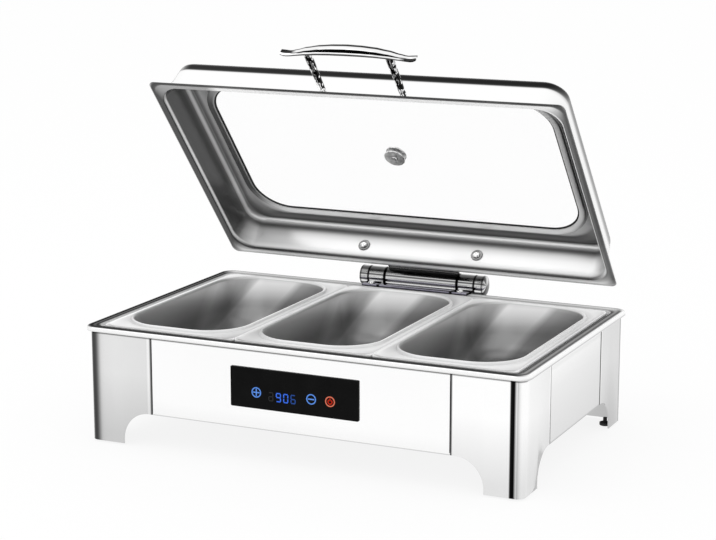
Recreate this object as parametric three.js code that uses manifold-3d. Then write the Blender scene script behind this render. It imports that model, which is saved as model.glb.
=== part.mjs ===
// Electric chafing dish: a footed housing, a water pan, three food pans and a hinged window lid.
// Millimetres, +Z up, X to the right and Y to the rear as seen by someone at the controls.
// Heights are above the table. The lid is laid out closed and then turned open about the hinge.

import * as THREE from 'three';
import { mergeVertices } from 'three/addons/utils/BufferGeometryUtils.js';
import Module from 'manifold-3d';

const wasm = await Module();
wasm.setup();

// General
const clearance = 0.3;         // between pieces that rest on or in each other
const overrun = 2;             // how far a cutter runs past what it cuts
const quarterTurn = Math.PI / 2;

// Housing
const housingTop = 143;
const rimSide = 14;            // width of the rim from its outer edge to the well
const rimFront = 10.5;
const rimRear = 17.5;
const sheet = 1.5;
const rimOverhang = 5.3;       // rim beyond the panels
const rimBand = 5.5;           // height of the rim's outer band
const rimRadius = 15;
const rimEdge = 2.4;           // rounding of the rim's upper edge
const rimSkirt = 15;           // how far the rim reaches down inside the panels
const panelBottom = 42.4;
const panelReturn = 14;        // inward fold along a panel's lower edge
const seam = 0.9;              // gap between a leg and a panel

// Legs and feet
const legArm = 86.5;           // from the housing corner to the seam, along each side
const footArm = 46.5;          // the same at the table
const legArch = 35;
const legLift = 2;             // the leg's lower edge above the table
const footPlateWidth = 26;
const footPlateLength = 45;
const footRadius = 7;
const footHeight = 4;
const footEdge = 1;
const footStudRadius = 2.5;
const footStudLength = 6;
const footInsetX = 11;
const footInsetY = 27;

// Well for the pans
const panNames = ['left', 'middle', 'right'];
const panPitch = 176;
const panLength = 325;
const panSeam = 0.6;           // between the flanges of neighbouring food pans
const wellMarginX = 5;
const wellMarginY = 4.5;
const wellRadius = 13;
const ledgeDrop = 5;

// Food pans
const foodOpeningWidth = 149;
const foodOpeningLength = 294;
const foodOpeningRadius = 50;
const foodDepth = 65;
const foodSheet = 1;
const foodSlopeX = 0.12;
const foodSlopeY = 0.215;
const foodFillet = 32;
const foodFlangeHeight = 3.5;
const foodFlangeRadius = 9;
const foodBeadWidth = 5;       // raised bead round the opening
const foodBeadHeight = 3;

// Water pan
const waterGapX = 2;           // between the outer food pans and the water pan at its mouth
const waterGapY = 6;
const waterDepth = 73.5;
const waterSheet = 1;
const waterSlopeX = 0.1;
const waterSlopeY = 0.33;
const waterFillet = 22;
const waterRadius = 52;
const waterFlangeThick = 1.2;
const waterFlangeMarginX = 2;
const waterFlangeMarginY = 2.5;
const waterFlangeRadius = 11;
const ledgeClearanceX = 1;
const ledgeClearanceY = 2.3;

// Bottom and heater
const coverSheet = 1;
const ventSlotLength = 46;
const ventSlotWidth = 5;
const ventSlotPitch = 16;
const ventSlotsPerRow = 6;
const ventRowSpacing = 250;
const heaterWidth = 430;
const heaterDepth = 196;
const heaterThick = 3;
const heaterRadius = 12;
const heaterPostRadius = 5;
const heaterPostInset = 14;
const elementRadius = 3.3;
const elementRun = 320;
const elementPitch = 46;
const elementRows = 4;
const elementTail = 24;
const clampLength = 170;
const clampWidth = 24;
const clampThick = 2;
const clampStudRadius = 2;
const shieldMargin = 8;        // shield beyond the heater plate
const shieldSheet = 1;
const shieldHeight = 5;
const cutoutRadius = 9;
const cutoutHeight = 8;
const cutoutX = 60;
const cutoutEarLength = 26;
const cutoutEarWidth = 8;
const cutoutEarThick = 1.5;
const terminalLength = 36;
const terminalDepth = 18;
const terminalHeight = 13;
const terminalPoles = 3;
const terminalWell = 4;        // wire entry of each pole
const terminalInsetX = 100;
const terminalInsetY = 30;

// Controls
const controlsShift = -2;
const touchWidth = 164;
const touchHeight = 48;
const touchThick = 1.2;
const touchRadius = 1.5;
const touchRise = 49.1;        // middle of the touch panel above the panels' lower edge
const displayWidth = 46;
const displayHeight = 22;
const displayThick = 5.7;
const displayShift = -11;
const boardWidth = 152;
const boardHeight = 38;
const boardThick = 1.6;
const relayWidth = 20;
const relayHeight = 16;
const relayThick = 4.6;
const relayShift = 40;
const boxWall = 1.5;
const boxDepth = 15.2;
const boxLip = 3;
const boxRadius = 3;

// Power inlet
const inletInset = 61.2;       // from the rear panel's right seam
const inletRise = 39.6;        // above the panels' lower edge
const inletFlangeWidth = 50;
const inletFlangeHeight = 25;
const inletFlangeThick = 3;
const inletFlangeRadius = 4;
const inletBodyWidth = 28;
const inletBodyHeight = 20;
const inletBodyDepth = 20;
const inletWall = 2;
const inletSocketDepth = 15;
const inletPinWidth = 4;
const inletPinThick = 2;
const inletPinLength = 11;
const inletPinSpread = 7;
const inletPinDrop = 2;

// Hinge
const hingeBehind = 16.4;      // the axis behind the rim
const hingeRise = 7.8;         // and above it
const hingeRadius = 13;
const shaftRadius = 5;
const sleeveHalf = 51;
const knuckleLength = 22.7;
const capLength = 13.5;
const capSocket = 6;
const capDome = 2.2;
const bracketThick = 3;
const bracketFront = 33.4;     // bracket plate's front edge ahead of the hinge axis
const bracketDepth = 17;
const bracketRadius = 3;
const bracketScrewY = 28.4;    // screws ahead of the hinge axis
const bracketScrewInset = 12;  // and in from the knuckles' outer ends
const screwHeadRadius = 4.4;
const screwHeadHeight = 2.4;
const screwShankRadius = 2;
const screwLength = 9;
const webRise = 7.5;           // underside of the lid bracket's web above the hinge axis
const webInset = 1.5;          // from the sleeve's ends
const lidPlateHalf = 92;
const lidPlateLow = 10;        // lid bracket's plate above the lid's flange
const lidPlateHigh = 33;

// Lid
const openAngle = THREE.MathUtils.degToRad(49.2);
const lidOffset = 3;            // the lid's middle to the right of the hinge's
const lidBeyondX = 4.7;         // lid beyond the food pans' flanges on each side
const lidBeyondY = 2.5;
const lidSetback = 1.4;        // the lid's middle behind the pans' middle
const lidHeight = 49.4;
const lidSheet = 1;
const lidFlange = 9.5;
const lidFlangeRadius = 8;
const lidWallRadius = 30;
const lidSlopeX = 6;           // how far the walls lean in from the flange to the rounded edge
const lidSlopeY = 5.5;
const lidEdge = 6;             // rounding between wall and top
const windowMarginX = 43.5;    // from the lid's outer edge to the window
const windowMarginY = 48.5;
const windowRadius = 45;
const windowLedge = 9;
const glassThick = 4;
const sealThick = 0.8;
const sealShow = 2;            // how far the seal shows inside the window frame
const lidScrewInset = 13;      // from the ends of the lid bracket's plate
const lidScrewRise = 20;
const lidScrewHeadRadius = 4.8;
const lidScrewHeadHeight = 2.6;
const lidScrewShankRadius = 2.3;
const lidScrewLength = 6;
const washerRadius = 7.8;
const washerThick = 1.2;

// Steam vent in the glass
const ventRadius = 13.5;
const ventThick = 2;
const ventHole = 10.5;
const ventHubLength = 3;       // how far the base's hub reaches into the glass
const ventScrewShankRadius = 1.8;
const ventScrewHeadRadius = 4;
const ventScrewHeadHeight = 1.8;
const ventPortRadius = 1.3;
const ventPortCircle = 7.5;
const ventPorts = 6;

// Handle
const handleShift = 14;
const postSpacing = 104;
const postRise = 12;           // post's foot above the lid's flange
const postReach = 65;          // post's end in front of the lid's wall
const postFootRadius = 3.9;
const postTopRadius = 4.9;
const postBoreRadius = 2.3;
const postBoreDepth = 12;
const handleScrewHeadRadius = 4.5;
const handleScrewHeadHeight = 2.4;
const handleScrewShankRadius = 2;
const handleScrewLength = 12;
const barLength = 172;
const barWidth = 17;
const barThick = 6.5;
const barBehind = 5.3;         // the bar's necks behind the posts' ends
const barBow = 11;             // the bar's middle beyond its necks
const barFlick = 3;            // the tips beyond the necks
// Stations from the middle to the tip
const barPlaceShares = [0, 0.2, 0.4, 0.6, 0.76, 0.86, 0.94, 1];
const barWidthShares = [1, 0.97, 0.9, 0.76, 0.58, 0.52, 0.6, 0.5];
const barThickShares = [1, 0.97, 0.9, 0.78, 0.62, 0.56, 0.54, 0.36];
const barBowShares = [1, 0.96, 0.84, 0.6, 0.3, 0.1, 0, 0];
const barFlickShares = [0, 0, 0, 0, 0, 0.08, 0.5, 1];
const barInnerPowerShare = 0.6; // flattens the side towards the lid

// Facets
const cornerSteps = 6;
const filletSteps = 4;
const beadSteps = 6;
const barrelSides = 28;
const rodSides = 16;
const smallSides = 12;
const barSides = 12;
const elementSides = 8;
const elementBendSteps = 8;

// Heights and half sizes that follow from the sizes above
const wellWidth = panPitch * panNames.length + wellMarginX * 2;
const wellDepth = panLength + wellMarginY * 2;
const wellShift = (rimFront - rimRear) / 2;
const housingWidth = wellWidth + rimSide * 2;
const housingDepth = wellDepth + rimFront + rimRear;
const ledgeTop = housingTop - ledgeDrop;
const waterFlangeTop = ledgeTop + clearance + waterFlangeThick;
const foodFlangeTop = waterFlangeTop + clearance + foodFlangeHeight;
const waterBottom = waterFlangeTop - waterDepth - waterSheet;
const lidClosedZ = foodFlangeTop + clearance;
const lidShift = wellShift + lidSetback;
const lidWidth = panPitch * panNames.length + lidBeyondX * 2;
const lidDepth = panLength + lidBeyondY * 2;
const windowWidth = lidWidth - windowMarginX * 2;
const windowDepth = lidDepth - windowMarginY * 2;
const faceX = housingWidth / 2 - rimOverhang;
const faceY = housingDepth / 2 - rimOverhang;
const seamX = faceX - legArm;
const seamY = faceY - legArm;
const rimUnderside = housingTop - sheet;
const panelTop = rimUnderside - clearance;
const touchCentre = panelBottom + touchRise;
const inletX = seamX - inletInset;
const inletCentre = panelBottom + inletRise;
const waterMouthWidth = panPitch * (panNames.length - 1) + foodOpeningWidth + (foodSheet + waterGapX) * 2;
const waterMouthDepth = foodOpeningLength + (foodSheet + waterGapY) * 2;
const returnTop = panelBottom + sheet;
const coverBase = returnTop + clearance;
const coverTop = coverBase + coverSheet;
const heaterTop = waterBottom - clearance;
const heaterBase = heaterTop - heaterThick;
const elementZ = heaterBase - clearance - elementRadius;
const clampBase = elementZ - elementRadius - clearance - clampThick;
const hingeY = housingDepth / 2 + hingeBehind;
const hingeZ = housingTop + hingeRise;
const hingeBore = shaftRadius + clearance;
const knuckleFrom = sleeveHalf + clearance;
const knuckleTo = knuckleFrom + knuckleLength;
const bracketScrewX = knuckleTo - bracketScrewInset;
const lidScrewX = lidPlateHalf - lidScrewInset;
const barStand = postReach - barBehind;
const lidTop = lidClosedZ + lidHeight;
const windowDrop = glassThick + sealThick + clearance * 2;
const lidLedgeTop = lidTop - windowDrop;
const glassBase = lidTop - glassThick;

// Materials
function metal(color, roughness) {
  return new THREE.MeshStandardMaterial({ color, roughness, metalness: 1 });
}

function plain(color, roughness) {
  return new THREE.MeshStandardMaterial({ color, roughness, metalness: 0 });
}

const polishedSteel = () => metal(0xd9dadb, 0.12);
const satinSteel = () => metal(0xa9a9a7, 0.38);
const chrome = () => metal(0xe2e3e5, 0.06);
const castAluminium = () => metal(0x9b9da0, 0.5);
const rubber = () => plain(0x161616, 0.8);
const blackGlass = () => plain(0x08080a, 0.08);
const darkPlastic = () => plain(0x26272a, 0.5);
const circuitBoard = () => plain(0x1f5a38, 0.55);
const ceramic = () => plain(0xe6e2d6, 0.6);

function clearGlass() {
  const glass = plain(0xeef3f3, 0.03);
  glass.transparent = true;
  glass.opacity = 0.2;
  return glass;
}

// Turns a closed geometry into a solid that can be cut and joined.
function solidOf(geometry) {
  const bare = geometry.clone();
  bare.deleteAttribute('normal');
  bare.deleteAttribute('uv');
  const merged = mergeVertices(bare);
  const corners = [...merged.index.array];
  const kept = [];
  for (let i = 0; i < corners.length; i += 3) {
    const face = corners.slice(i, i + 3);
    if (new Set(face).size === 3) kept.push(...face);
  }
  const vertProperties = new Float32Array(merged.attributes.position.array);
  const triVerts = new Uint32Array(kept);
  return new wasm.Manifold(new wasm.Mesh({ numProp: 3, vertProperties, triVerts }));
}

// Turns a solid back into a geometry with flat faces.
function geometryOf(solid) {
  const mesh = solid.getMesh();
  const geometry = new THREE.BufferGeometry();
  geometry.setAttribute('position', new THREE.BufferAttribute(new Float32Array(mesh.vertProperties), 3));
  geometry.setIndex(new THREE.BufferAttribute(new Uint32Array(mesh.triVerts), 1));
  const flat = geometry.toNonIndexed();
  flat.computeVertexNormals();
  return flat;
}

function joined(...solids) {
  return solids.reduce((whole, part) => whole.add(part));
}

function cut(solid, ...tools) {
  return tools.reduce((rest, tool) => rest.subtract(tool), solid);
}

function piece(name, solid, material) {
  const mesh = new THREE.Mesh(geometryOf(solid), material);
  mesh.name = name;
  return mesh;
}

// The low and high end of a size about its middle.
function span(middle, size) {
  return [middle - size / 2, middle + size / 2];
}

function ordered(a, b) {
  return a < b ? [a, b] : [b, a];
}

// The points of a rounded rectangle, with the same number of points whatever its size.
function roundedPoints(width, depth, radius, centreX = 0, centreY = 0) {
  const x = width / 2 - radius;
  const y = depth / 2 - radius;
  const corners = [[x, y], [-x, y], [-x, -y], [x, -y]];
  const points = [];
  corners.forEach(([cornerX, cornerY], corner) => {
    for (let i = 0; i <= cornerSteps; i++) {
      const angle = quarterTurn * (corner + i / cornerSteps);
      const alongX = cornerX + radius * Math.cos(angle);
      const alongY = cornerY + radius * Math.sin(angle);
      points.push(new THREE.Vector2(centreX + alongX, centreY + alongY));
    }
  });
  return points;
}

function roundedOutline(width, depth, radius, centreX, centreY) {
  return new THREE.Shape(roundedPoints(width, depth, radius, centreX, centreY));
}

function polygon(points) {
  return new THREE.Shape(points.map(([a, b]) => new THREE.Vector2(a, b)));
}

function circle(radius, a = 0, b = 0) {
  return new THREE.Shape().absarc(a, b, radius, 0, quarterTurn * 4);
}

// An outline in X and Y, raised from one height to another.
function raised(shape, from, to, sides = rodSides) {
  const options = { depth: to - from, bevelEnabled: false, curveSegments: sides / 2 };
  const geometry = new THREE.ExtrudeGeometry(shape, options);
  geometry.translate(0, 0, from);
  return solidOf(geometry);
}

// An outline in Y and Z, drawn out along X.
function drawnAlongX(shape, from, to, sides = rodSides) {
  const options = { depth: to - from, bevelEnabled: false, curveSegments: sides / 2 };
  const geometry = new THREE.ExtrudeGeometry(shape, options);
  geometry.translate(0, 0, from);
  const turn = new THREE.Matrix4().makeBasis(
    new THREE.Vector3(0, 1, 0),
    new THREE.Vector3(0, 0, 1),
    new THREE.Vector3(1, 0, 0),
  );
  geometry.applyMatrix4(turn);
  return solidOf(geometry);
}

// An outline in X and Z, drawn out along Y.
function drawnAlongY(shape, from, to, sides = rodSides) {
  const options = { depth: to - from, bevelEnabled: false, curveSegments: sides / 2 };
  const geometry = new THREE.ExtrudeGeometry(shape, options);
  geometry.translate(0, 0, -to);
  geometry.rotateX(quarterTurn);
  return solidOf(geometry);
}

function block(x, y, z) {
  const geometry = new THREE.BoxGeometry(x[1] - x[0], y[1] - y[0], z[1] - z[0]);
  geometry.translate((x[0] + x[1]) / 2, (y[0] + y[1]) / 2, (z[0] + z[1]) / 2);
  return solidOf(geometry);
}

const upwards = new THREE.Vector3(0, 0, 1);
const rightwards = new THREE.Vector3(1, 0, 0);

// A body of revolution from radius and distance pairs along a way from a place.
function turned(profile, sides, place = new THREE.Vector3(), way = upwards) {
  const points = profile.map(([radius, distance]) => new THREE.Vector2(radius, distance));
  const geometry = new THREE.LatheGeometry(points, sides);
  const axis = new THREE.Vector3(0, 1, 0);
  geometry.applyQuaternion(new THREE.Quaternion().setFromUnitVectors(axis, way));
  geometry.translate(place.x, place.y, place.z);
  return solidOf(geometry);
}

function rod(radius, from, to, sides, place, way) {
  return turned([[0, from], [radius, from], [radius, to], [0, to]], sides, place, way);
}

// Skins rings of points into a closed surface, either capped at both ends or wrapped round.
function skinned(rings, wraps = false) {
  const count = rings[0].length;
  const positions = rings.flatMap((ring) => ring.flatMap((point) => [point.x, point.y, point.z]));
  const faces = [];
  const spans = wraps ? rings.length : rings.length - 1;
  for (let i = 0; i < spans; i++) {
    const here = i * count;
    const next = ((i + 1) % rings.length) * count;
    for (let j = 0; j < count; j++) {
      const k = (j + 1) % count;
      faces.push(here + j, here + k, next + k, here + j, next + k, next + j);
    }
  }
  if (!wraps) {
    const last = (rings.length - 1) * count;
    for (let j = 1; j < count - 1; j++) {
      faces.push(0, j + 1, j, last, last + j, last + j + 1);
    }
  }
  const geometry = new THREE.BufferGeometry();
  geometry.setAttribute('position', new THREE.Float32BufferAttribute(positions, 3));
  geometry.setIndex(faces);
  return solidOf(geometry);
}

// A level is a rounded rectangle with its own size, corner radius, height and middle in Y.
function level(width, depth, radius, z = 0, y = 0) {
  return { width, depth, radius, z, y };
}

function inset(outline, amountX, amountY = amountX) {
  return {
    ...outline,
    width: outline.width - amountX * 2,
    depth: outline.depth - amountY * 2,
    radius: Math.max(outline.radius - Math.max(amountX, amountY), clearance),
  };
}

function at(outline, z) {
  return { ...outline, z };
}

function stacked(levels, wraps) {
  const rings = levels.map(({ width, depth, radius, z, y }) => {
    const points = roundedPoints(width, depth, radius, 0, y);
    return points.map((point) => new THREE.Vector3(point.x, point.y, z));
  });
  return skinned(rings, wraps);
}

// The wall of a tub as levels, from its flat bottom up to a height below its mouth.
function tubWall(mouth, depth, slopeX, slopeY, fillet, top) {
  const wall = [];
  for (let i = 0; i <= filletSteps; i++) {
    const angle = (quarterTurn * i) / filletSteps;
    const below = depth - fillet * (1 - Math.cos(angle));
    const pullIn = fillet * (1 - Math.sin(angle));
    const line = inset(mouth, pullIn + slopeX * below, pullIn + slopeY * below);
    const radius = Math.max(mouth.radius - pullIn - slopeX * below, fillet / 2);
    wall.push({ ...line, radius, z: mouth.z - below });
  }
  const rest = mouth.z - top;
  const radius = mouth.radius - slopeX * rest;
  wall.push({ ...inset(mouth, slopeX * rest, slopeY * rest), radius, z: top });
  return wall;
}

// Rim round the top of the housing, with the ledge that the pans sit on and a skirt inside the panels.
function topRim() {
  const outer = level(housingWidth, housingDepth, rimRadius);
  const well = { ...level(wellWidth, wellDepth, wellRadius), y: wellShift };
  const mouthWidth = waterMouthWidth + (waterSheet + ledgeClearanceX) * 2;
  const mouthDepth = waterMouthDepth + (waterSheet + ledgeClearanceY) * 2;
  const mouth = { ...level(mouthWidth, mouthDepth, waterRadius + waterSheet), y: wellShift };
  const skirtOuter = inset(outer, rimOverhang + sheet + clearance);
  const skirtInner = inset(skirtOuter, sheet);
  const channel = inset(well, -sheet);
  const bandBottom = housingTop - rimBand;
  const skirtBottom = rimUnderside - rimSkirt;
  const edgeShare = 1 - Math.SQRT1_2;
  return stacked([
    at(outer, bandBottom),
    at(outer, housingTop - rimEdge),
    at(inset(outer, rimEdge * edgeShare), housingTop - rimEdge * edgeShare),
    at(inset(outer, rimEdge), housingTop),
    at(well, housingTop),
    at(well, ledgeTop),
    at(mouth, ledgeTop),
    at(mouth, ledgeTop - sheet),
    at(channel, ledgeTop - sheet),
    at(channel, rimUnderside),
    at(skirtInner, rimUnderside),
    at(skirtInner, skirtBottom),
    at(skirtOuter, skirtBottom),
    at(skirtOuter, rimUnderside),
    at(inset(outer, sheet), rimUnderside),
    at(inset(outer, sheet), bandBottom),
  ], true);
}

// A panel between two legs, folded inwards along its lower edge. Side is 1 to the rear or right.
function panelAcross(side) {
  const x = span(0, (seamX - seam) * 2);
  const skin = block(x, ordered(side * faceY, side * (faceY - sheet)), [panelBottom, panelTop]);
  const fold = block(x, ordered(side * faceY, side * (faceY - panelReturn)), [panelBottom, returnTop]);
  return joined(skin, fold);
}

function panelAlong(side) {
  const y = span(0, (seamY - seam) * 2);
  const skin = block(ordered(side * faceX, side * (faceX - sheet)), y, [panelBottom, panelTop]);
  const fold = block(ordered(side * faceX, side * (faceX - panelReturn)), y, [panelBottom, returnTop]);
  return joined(skin, fold);
}

function frontPanel() {
  const window = block(
    span(controlsShift + displayShift, displayWidth + clearance * 2),
    [-faceY - overrun, -faceY + sheet + overrun],
    span(touchCentre, displayHeight + clearance * 2),
  );
  return cut(panelAcross(-1), window);
}

function rearPanel() {
  const window = block(
    span(inletX, inletBodyWidth + clearance * 2),
    [faceY - sheet - overrun, faceY + overrun],
    span(inletCentre, inletBodyHeight + clearance * 2),
  );
  return cut(panelAcross(1), window);
}

// The opening under a leg's arm, from the arm's end to the foot, with its round corner.
function archOutline(arm, foot) {
  const shape = new THREE.Shape();
  shape.moveTo(arm - overrun, -overrun);
  shape.lineTo(foot, -overrun);
  shape.lineTo(foot, panelBottom - legArch);
  shape.absarc(foot - legArch, panelBottom - legArch, legArch, 0, quarterTurn);
  shape.lineTo(arm - overrun, panelBottom);
  shape.closePath();
  return shape;
}

// A corner leg folded from one sheet, for the rear right corner.
function cornerLeg() {
  const radius = rimRadius - rimOverhang;
  const x = faceX - radius;
  const y = faceY - radius;
  const plan = new THREE.Shape();
  plan.moveTo(seamX, faceY - sheet);
  plan.lineTo(x, faceY - sheet);
  plan.absarc(x, y, radius - sheet, quarterTurn, 0, true);
  plan.lineTo(faceX - sheet, seamY);
  plan.lineTo(faceX, seamY);
  plan.lineTo(faceX, y);
  plan.absarc(x, y, radius, 0, quarterTurn);
  plan.lineTo(seamX, faceY);
  plan.closePath();
  const folded = raised(plan, legLift, panelTop, cornerSteps);
  const archAcross = archOutline(seamX, faceX - footArm);
  const archAlong = archOutline(seamY, faceY - footArm);
  const acrossCut = drawnAlongY(archAcross, faceY - sheet - overrun, faceY + overrun);
  const alongCut = drawnAlongX(archAlong, faceX - sheet - overrun, faceX + overrun);

  const plateX = faceX - sheet / 2;
  const plateY = faceY - sheet / 2;
  const plateCorner = radius - sheet / 2;
  const plate = new THREE.Shape();
  plate.moveTo(plateX - footPlateWidth, plateY);
  plate.lineTo(plateX - footPlateWidth, plateY - footPlateLength);
  plate.lineTo(plateX, plateY - footPlateLength);
  plate.lineTo(plateX, y);
  plate.absarc(x, y, plateCorner, 0, quarterTurn);
  plate.closePath();
  const seatBase = footHeight + clearance;
  const seat = raised(plate, seatBase, seatBase + sheet, cornerSteps);
  const studHole = rod(
    footStudRadius + clearance,
    -overrun,
    seatBase + sheet + overrun,
    smallSides,
    new THREE.Vector3(faceX - footInsetX, faceY - footInsetY, 0),
  );
  return cut(joined(cut(folded, acrossCut, alongCut), seat), studHole);
}

// Mirrors a solid into another quarter, keeping its faces outwards.
function quartered(solid, sideX, sideY) {
  const geometry = geometryOf(solid);
  geometry.scale(sideX, sideY, 1);
  if (sideX * sideY < 0) {
    const position = geometry.attributes.position;
    for (let i = 0; i < position.count; i += 3) {
      const a = new THREE.Vector3().fromBufferAttribute(position, i);
      const b = new THREE.Vector3().fromBufferAttribute(position, i + 1);
      position.setXYZ(i, b.x, b.y, b.z);
      position.setXYZ(i + 1, a.x, a.y, a.z);
    }
  }
  return solidOf(geometry);
}

function rubberFoot(sideX, sideY) {
  const place = new THREE.Vector3(sideX * (faceX - footInsetX), sideY * (faceY - footInsetY), 0);
  return turned([
    [0, 0],
    [footRadius - footEdge, 0],
    [footRadius, footEdge],
    [footRadius, footHeight],
    [footStudRadius, footHeight],
    [footStudRadius, footHeight + footStudLength],
    [0, footHeight + footStudLength],
  ], rodSides, place);
}

function legsAndFeet() {
  const leg = cornerLeg();
  const corners = [
    ['front_left', -1, -1],
    ['front_right', 1, -1],
    ['rear_left', -1, 1],
    ['rear_right', 1, 1],
  ];
  return corners.flatMap(([name, sideX, sideY]) => [
    piece(`leg_${name}`, quartered(leg, sideX, sideY), polishedSteel()),
    piece(`foot_${name}`, rubberFoot(sideX, sideY), rubber()),
  ]);
}

function bottomCover() {
  const margin = sheet + clearance;
  const radius = rimRadius - rimOverhang - margin;
  const outline = roundedOutline((faceX - margin) * 2, (faceY - margin) * 2, radius);
  let cover = raised(outline, coverBase, coverTop);
  for (const row of [-1, 1]) {
    for (let i = 0; i < ventSlotsPerRow; i++) {
      const x = (i - (ventSlotsPerRow - 1) / 2) * ventSlotPitch;
      const y = (row * ventRowSpacing) / 2;
      const rise = [coverBase - overrun, coverTop + overrun];
      const slot = block(span(x, ventSlotWidth), span(y, ventSlotLength), rise);
      cover = cut(cover, slot);
    }
  }
  return cover;
}

function heaterPosts(radius, from, to) {
  const posts = [];
  for (const sideX of [-1, 1]) {
    for (const sideY of [-1, 1]) {
      const x = sideX * (heaterWidth / 2 - heaterPostInset);
      const y = wellShift + sideY * (heaterDepth / 2 - heaterPostInset);
      posts.push(rod(radius, from, to, smallSides, new THREE.Vector3(x, y, 0)));
    }
  }
  return posts;
}

function heatingPlate() {
  const outline = roundedOutline(heaterWidth, heaterDepth, heaterRadius, 0, wellShift);
  const posts = heaterPosts(heaterPostRadius, coverTop + clearance, heaterBase + heaterThick / 2);
  return joined(raised(outline, heaterBase, heaterTop), ...posts);
}

// A path whose steps fall on its own listed points.
class SteppedPath extends THREE.Curve {
  constructor(points) {
    super();
    this.points = points;
  }

  getPoint(share, target = new THREE.Vector3()) {
    return target.copy(this.points[Math.round(share * (this.points.length - 1))]);
  }

  getUtoTmapping(share) {
    return share;
  }

  getTangent(share, target = new THREE.Vector3()) {
    const last = this.points.length - 1;
    const index = Math.round(share * last);
    const before = this.points[Math.max(index - 1, 0)];
    const after = this.points[Math.min(index + 1, last)];
    return target.subVectors(after, before).normalize();
  }
}

// Tubular element under the plate, running to and fro with a half turn at each end.
function heatingElement() {
  const points = [];
  const bend = elementPitch / 2;
  for (let row = 0; row < elementRows; row++) {
    const way = row % 2 === 0 ? -1 : 1;
    const y = wellShift + ((elementRows - 1) / 2 - row) * elementPitch;
    const last = row === elementRows - 1;
    const startTail = row === 0 ? elementTail : 0;
    const endTail = last ? elementTail : 0;
    points.push(new THREE.Vector3(-way * (elementRun / 2 + startTail), y, elementZ));
    points.push(new THREE.Vector3(way * (elementRun / 2 + endTail), y, elementZ));
    for (let i = 1; i < elementBendSteps && !last; i++) {
      const angle = (quarterTurn * 2 * i) / elementBendSteps;
      const x = way * (elementRun / 2 + Math.sin(angle) * bend);
      points.push(new THREE.Vector3(x, y - bend + Math.cos(angle) * bend, elementZ));
    }
  }
  const extrudePath = new SteppedPath(points);
  const options = { steps: points.length - 1, extrudePath, curveSegments: elementSides / 2 };
  return solidOf(new THREE.ExtrudeGeometry(circle(elementRadius), options));
}

// Bar that holds the element's runs to the plate, on a stud between the middle runs.
function elementClamp() {
  const outline = roundedOutline(clampWidth, clampLength, clampWidth / 4, 0, wellShift);
  const place = new THREE.Vector3(0, wellShift, 0);
  const stud = rod(clampStudRadius, clampBase + clampThick / 2, heaterBase - clearance, smallSides, place);
  return joined(raised(outline, clampBase, clampBase + clampThick), stud);
}

function heatShield() {
  const width = heaterWidth + shieldMargin * 2;
  const depth = heaterDepth + shieldMargin * 2;
  const outer = level(width, depth, heaterRadius + shieldMargin, coverTop + clearance, wellShift);
  const inner = inset(outer, shieldSheet);
  const tray = stacked([
    outer,
    at(outer, outer.z + shieldHeight),
    at(inner, outer.z + shieldHeight),
    at(inner, outer.z + shieldSheet),
  ]);
  return cut(tray, ...heaterPosts(heaterPostRadius + clearance, 0, heaterTop));
}

// Disc thermostat on two ears, held against the plate beside the element's middle.
function thermalCutout() {
  const y = wellShift + elementPitch;
  const top = heaterBase - clearance;
  const place = new THREE.Vector3(cutoutX, y, 0);
  const disc = rod(cutoutRadius, top - cutoutHeight, top, rodSides, place);
  const ears = block(span(cutoutX, cutoutEarLength), span(y, cutoutEarWidth), [top - cutoutEarThick, top]);
  return joined(disc, ears);
}

function terminalBlock() {
  const x = faceX - terminalInsetX;
  const y = faceY - terminalInsetY;
  const base = coverTop + clearance;
  const top = base + terminalHeight;
  const pitch = terminalLength / terminalPoles;
  let body = block(span(x, terminalLength), span(y, terminalDepth), [base, top]);
  for (let i = 0; i < terminalPoles; i++) {
    const poleX = x + (i - (terminalPoles - 1) / 2) * pitch;
    const entry = block(
      span(poleX, terminalWell),
      [y + terminalDepth / 2 - terminalWell, y + terminalDepth / 2 + overrun],
      span(base + terminalHeight / 2, terminalWell),
    );
    const middle = new THREE.Vector3(poleX, y, 0);
    const driver = rod(terminalWell / 2, top - terminalWell, top + overrun, smallSides, middle);
    body = cut(body, entry, driver);
  }
  return body;
}

// Controls, from the touch panel on the front back to the box that closes them in.
const touchBack = -faceY - clearance;
const displayFront = touchBack + clearance;
const boardFront = displayFront + displayThick + clearance;
const boardBack = boardFront + boardThick;
const boxFront = -faceY + sheet + clearance;

function touchPanel() {
  const outline = roundedOutline(touchWidth, touchHeight, touchRadius, controlsShift, touchCentre);
  return drawnAlongY(outline, touchBack - touchThick, touchBack);
}

function displayModule() {
  return block(
    span(controlsShift + displayShift, displayWidth),
    [displayFront, displayFront + displayThick],
    span(touchCentre, displayHeight),
  );
}

function controlBoard() {
  return block(span(controlsShift, boardWidth), [boardFront, boardBack], span(touchCentre, boardHeight));
}

function powerRelay() {
  const front = boardBack + clearance;
  const x = span(controlsShift + relayShift, relayWidth);
  return block(x, [front, front + relayThick], span(touchCentre, relayHeight));
}

function controlBox() {
  const width = boardWidth + (clearance + boxWall) * 2;
  const height = boardHeight + (clearance + boxWall) * 2;
  const lipWidth = width + boxLip * 2;
  const lipHeight = height + boxLip * 2;
  const back = boxFront + boxDepth;
  const outline = roundedOutline(width, height, boxRadius, controlsShift, touchCentre);
  const tray = drawnAlongY(outline, boxFront, back);
  const lips = roundedOutline(lipWidth, lipHeight, boxRadius, controlsShift, touchCentre);
  const hollow = block(
    span(controlsShift, width - boxWall * 2),
    [boxFront - overrun, back - boxWall],
    span(touchCentre, height - boxWall * 2),
  );
  return cut(joined(tray, drawnAlongY(lips, boxFront, boxFront + boxWall)), hollow);
}

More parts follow.
